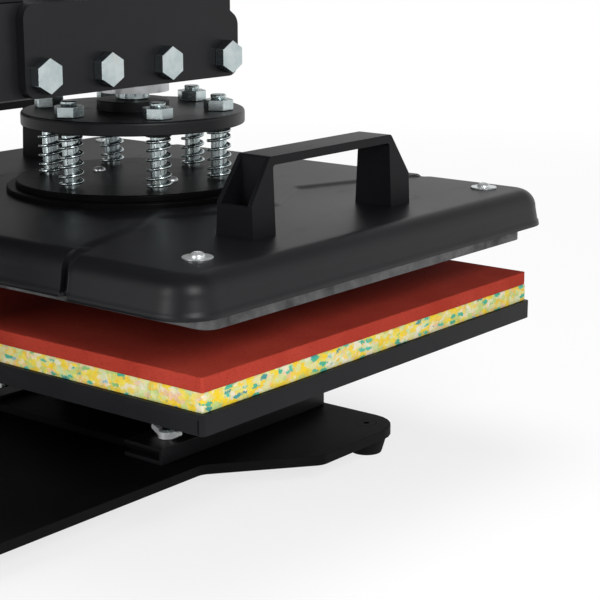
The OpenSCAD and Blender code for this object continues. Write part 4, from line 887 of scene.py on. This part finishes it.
# Marks on the slope of the box: its middle, its turn about X, then the keys' places on it and their height
marks = {"slope": (0.0, 0.1395, 0.3597), "turn": math.radians(61.3895), "keyX": 0.024, "keyY": -0.02,
         "keyTop": 0.0055, "thick": 0.00012, "arrow": 0.0022, "arrowBase": 0.7, "ring": (0.0023, 0.0014),
         "digit": (0.0072, 0.0146), "bar": 0.0017, "barGap": 0.12, "digitPitch": 0.0135, "digits": 4,
         "windowY": 0.014855, "windowTop": 0.0025, "rocker": (-0.035, 0.2185, 0.3268),
         "stroke": (0.0005, 0.0024), "strokeAt": (0.00375, 0.0054), "strokeLean": math.radians(13.0),
         "switchRing": (0.0022, 0.0014), "switchRingAt": (0.0025, -0.0054)}


# A flat mark: its outline lifted by the thickness and closed to the middle, above and below
def flatMark(outline, thick):
    flat = np.asarray(outline, float)
    middle = np.broadcast_to(flat.mean(0), flat.shape)
    rings = [np.column_stack([ring, np.full(len(flat), z)]) for ring, z in
             ((middle, -thick), (flat, -thick), (flat, thick), (middle, thick))]
    return [(np.stack(rings), gridFaces(4, len(flat), closeColumns=True))]


# A flat ring: its section, a small rectangle, turned about Z
def ringMark(outer, inner, thick):
    return turned([(inner, -thick), (outer, -thick), (outer, thick), (inner, thick), (inner, -thick)], 40)


# Parts turned about X and then shifted
def tilted(parts, turn, at):
    c, s = math.cos(turn), math.sin(turn)
    place = np.array([[1, 0, 0], [0, c, s], [0, -s, c]])
    return [(np.asarray(grid) @ place + np.array(at), faces) for grid, faces in parts]


# A bar of a digit: a long hexagon from one end to the other, short of both by a share of its width
def segmentBar(start, end, width, short, thick):
    a = np.array(start)
    b = np.array(end)
    along = (b - a) / np.linalg.norm(b - a)
    side = np.array([-along[1], along[0]]) * width / 2
    tip = along * width / 2
    gap = along * width * short
    a = a + gap
    b = b - gap
    return flatMark([a, a + tip + side, b - tip + side, b, b - tip - side, a + tip - side], thick)


# Marks of the keys, the unlit digits of the display, each of seven bars, and the marks of the switch
def makeMarks(spec):
    thick = spec["thick"]
    size = spec["arrow"]
    base = spec["arrowBase"] * size
    shapes = {"key_set": ringMark(*spec["ring"], thick),
              "key_up": flatMark([(-size, -base), (size, -base), (0.0, size)], thick),
              "key_down": flatMark([(-size, base), (0.0, -size), (size, base)], thick)}
    for column, (node, shape) in enumerate(shapes.items()):
        key = moved(shape, (column - 1) * spec["keyX"], spec["keyY"], spec["keyTop"])
        key = tilted(key, spec["turn"], spec["slope"])
        addForm(node + ".mark", key, bodyOf[node], slotOf[node], sharp=30.0, finish="white_print")
    wide, tall = spec["digit"]
    x = wide / 2
    y = tall / 2
    ends = [(-x, y, x, y), (-x, 0, x, 0), (-x, -y, x, -y), (-x, 0, -x, y), (x, 0, x, y), (-x, -y, -x, 0),
            (x, -y, x, 0)]
    bars = [segmentBar(e[:2], e[2:], spec["bar"], spec["barGap"], thick / 2) for e in ends]
    digit = sum(bars, [])
    digits = []
    for i in range(spec["digits"]):
        shift = (i - (spec["digits"] - 1) / 2) * spec["digitPitch"]
        digits += moved(digit, shift, spec["windowY"], spec["windowTop"])
    digits = tilted(digits, spec["turn"], spec["slope"])
    addForm("displayDigits", digits, bodyOf["display_window"], slotOf["display_window"], sharp=30.0,
            finish="unlit_segment")
    x, y, z = spec["rocker"]
    w, h = spec["stroke"]
    out, high = spec["strokeAt"]
    stroke = flatMark([(-w, -h), (w, -h), (w, h), (-w, h)], thick)
    signs = tilted(stroke, -math.pi / 2 - spec["strokeLean"], (x, y + out, z + high))
    out, high = spec["switchRingAt"]
    signs += tilted(ringMark(*spec["switchRing"], thick), -math.pi / 2, (x, y + out, z + high))
    addForm("rockerMarks", signs, bodyOf["rocker_switch"], slotOf["rocker_switch"], sharp=30.0,
            finish="white_print")


makeMarks(marks)
print("marks made")

# White surround: seen straight or in a reflection it is white, up to a darker ceiling, and it lights the
# object only softly
surround = {"half": 9.0, "shadow": 0.24, "clear": (0.55, 1.6), "pale": (0.86, 0.86, 0.87), "ambient": 0.3,
            "ceiling": 0.1, "ceilingFrom": (0.3, 0.72)}
# Dark cloths that reflections show: direction, cosine of the angle at the edge and where full, light left
cloths = {"behindCamera": {"towards": (-0.64, 0.77, 0.0), "reach": (0.8, 0.97), "left": 0.1},
          "side": {"towards": (0.996, -0.087, 0.0), "reach": (0.6, 0.85), "left": 0.1}}


# Light Paths that say whether a ray comes from the camera, and whether from a mirror or glass
def seenRays(f):
    straight, mirror, glass = [f.node("ShaderNodeLightPath", {}, {}, kind) for kind in
                               ("Is Camera Ray", "Is Glossy Ray", "Is Transmission Ray")]
    return straight, f.node("ShaderNodeMath", {"operation": "MINIMUM"}, {0: mirror + glass, 1: 1.0})


# The floor keeps part of its own shading near the object, so that the shadow stays on the white
def makeFloor(spec):
    h = spec["half"]
    mesh = bpy.data.meshes.new("floor")
    mesh.from_pydata([(-h, -h, 0), (h, -h, 0), (h, h, 0), (-h, h, 0)], [], [(0, 1, 2, 3)])
    floor = bpy.data.objects.new("floor", mesh)
    scene.collection.objects.link(floor)
    f = Finish("paleFloor", Roughness=0.95, Specular_IOR_Level=0.0, Base_Color=(*spec["pale"], 1.0))
    away = f.node("ShaderNodeVectorMath", {"operation": "LENGTH"}, {0: f.place}, "Value")
    white = 1.0 - spec["shadow"] * (1.0 - f.band(away, *spec["clear"]))
    glow = f.node("ShaderNodeEmission", {}, {"Color": (1, 1, 1, 1), "Strength": 1.0})
    shaded = Term(f, f.shader.outputs[0])
    straight, mirrored = seenRays(f)
    both = f.node("ShaderNodeMixShader", {}, {0: white * (straight + mirrored), 1: shaded, 2: glow})
    f.tree.links.new(both.socket, f.tree.nodes["Material Output"].inputs["Surface"])
    mesh.materials.append(f.material)


makeFloor(surround)


class Surround(Finish):
    # The world's own nodes, written as a finish is
    def __init__(self, name):
        self.world = bpy.data.worlds.new(name)
        self.world.use_nodes = True
        self.tree = self.world.node_tree


studio = Surround("studio")
scene.world = studio.world
background = studio.tree.nodes["Background"]
background.inputs["Color"].default_value = (1, 1, 1, 1)
direction = studio.node("ShaderNodeTexCoord", {}, {}, "Generated")
upward = studio.node("ShaderNodeSeparateXYZ", {}, {0: direction}, "Z")
sky = 1.0 - (1.0 - surround["ceiling"]) * studio.band(upward, *surround["ceilingFrom"])
for cloth in cloths.values():
    facing = studio.node("ShaderNodeVectorMath", {"operation": "DOT_PRODUCT"},
                         {0: direction, 1: cloth["towards"]}, "Value")
    sky = sky * (1.0 - (1.0 - cloth["left"]) * studio.band(facing, *cloth["reach"]))
straight, mirrored = seenRays(studio)
ambient = surround["ambient"]
level = ambient + (1.0 - ambient) * straight + (sky - ambient) * mirrored
studio.tree.links.new(level.socket, background.inputs["Strength"])

lampAim = Vector((0, -0.07, 0.12))
lamps = {
    "overhead": {"at": (0.25, -0.35, 1.5), "size": (1.0, 1.0), "power": 17.0, "mirrored": False},
    "cameraLeft": {"at": (0.15, 1.35, 0.5), "size": (0.5, 0.9), "power": 6.8, "mirrored": True},
    "cameraRight": {"at": (-0.92, 0.4, 0.62), "size": (0.35, 0.5), "power": 6.5, "mirrored": True},
}
for lampName, spec in lamps.items():
    lamp = bpy.data.objects.new(lampName, bpy.data.lights.new(lampName, "AREA"))
    lamp.data.shape = "RECTANGLE"
    lamp.data.size, lamp.data.size_y = spec["size"]
    lamp.data.energy = spec["power"]
    lamp.location = spec["at"]
    lamp.visible_glossy = spec["mirrored"]
    lamp.rotation_euler = (lampAim - Vector(spec["at"])).to_track_quat("-Z", "Y").to_euler()
    scene.collection.objects.link(lamp)
print("light set")

bpy.context.view_layer.update()
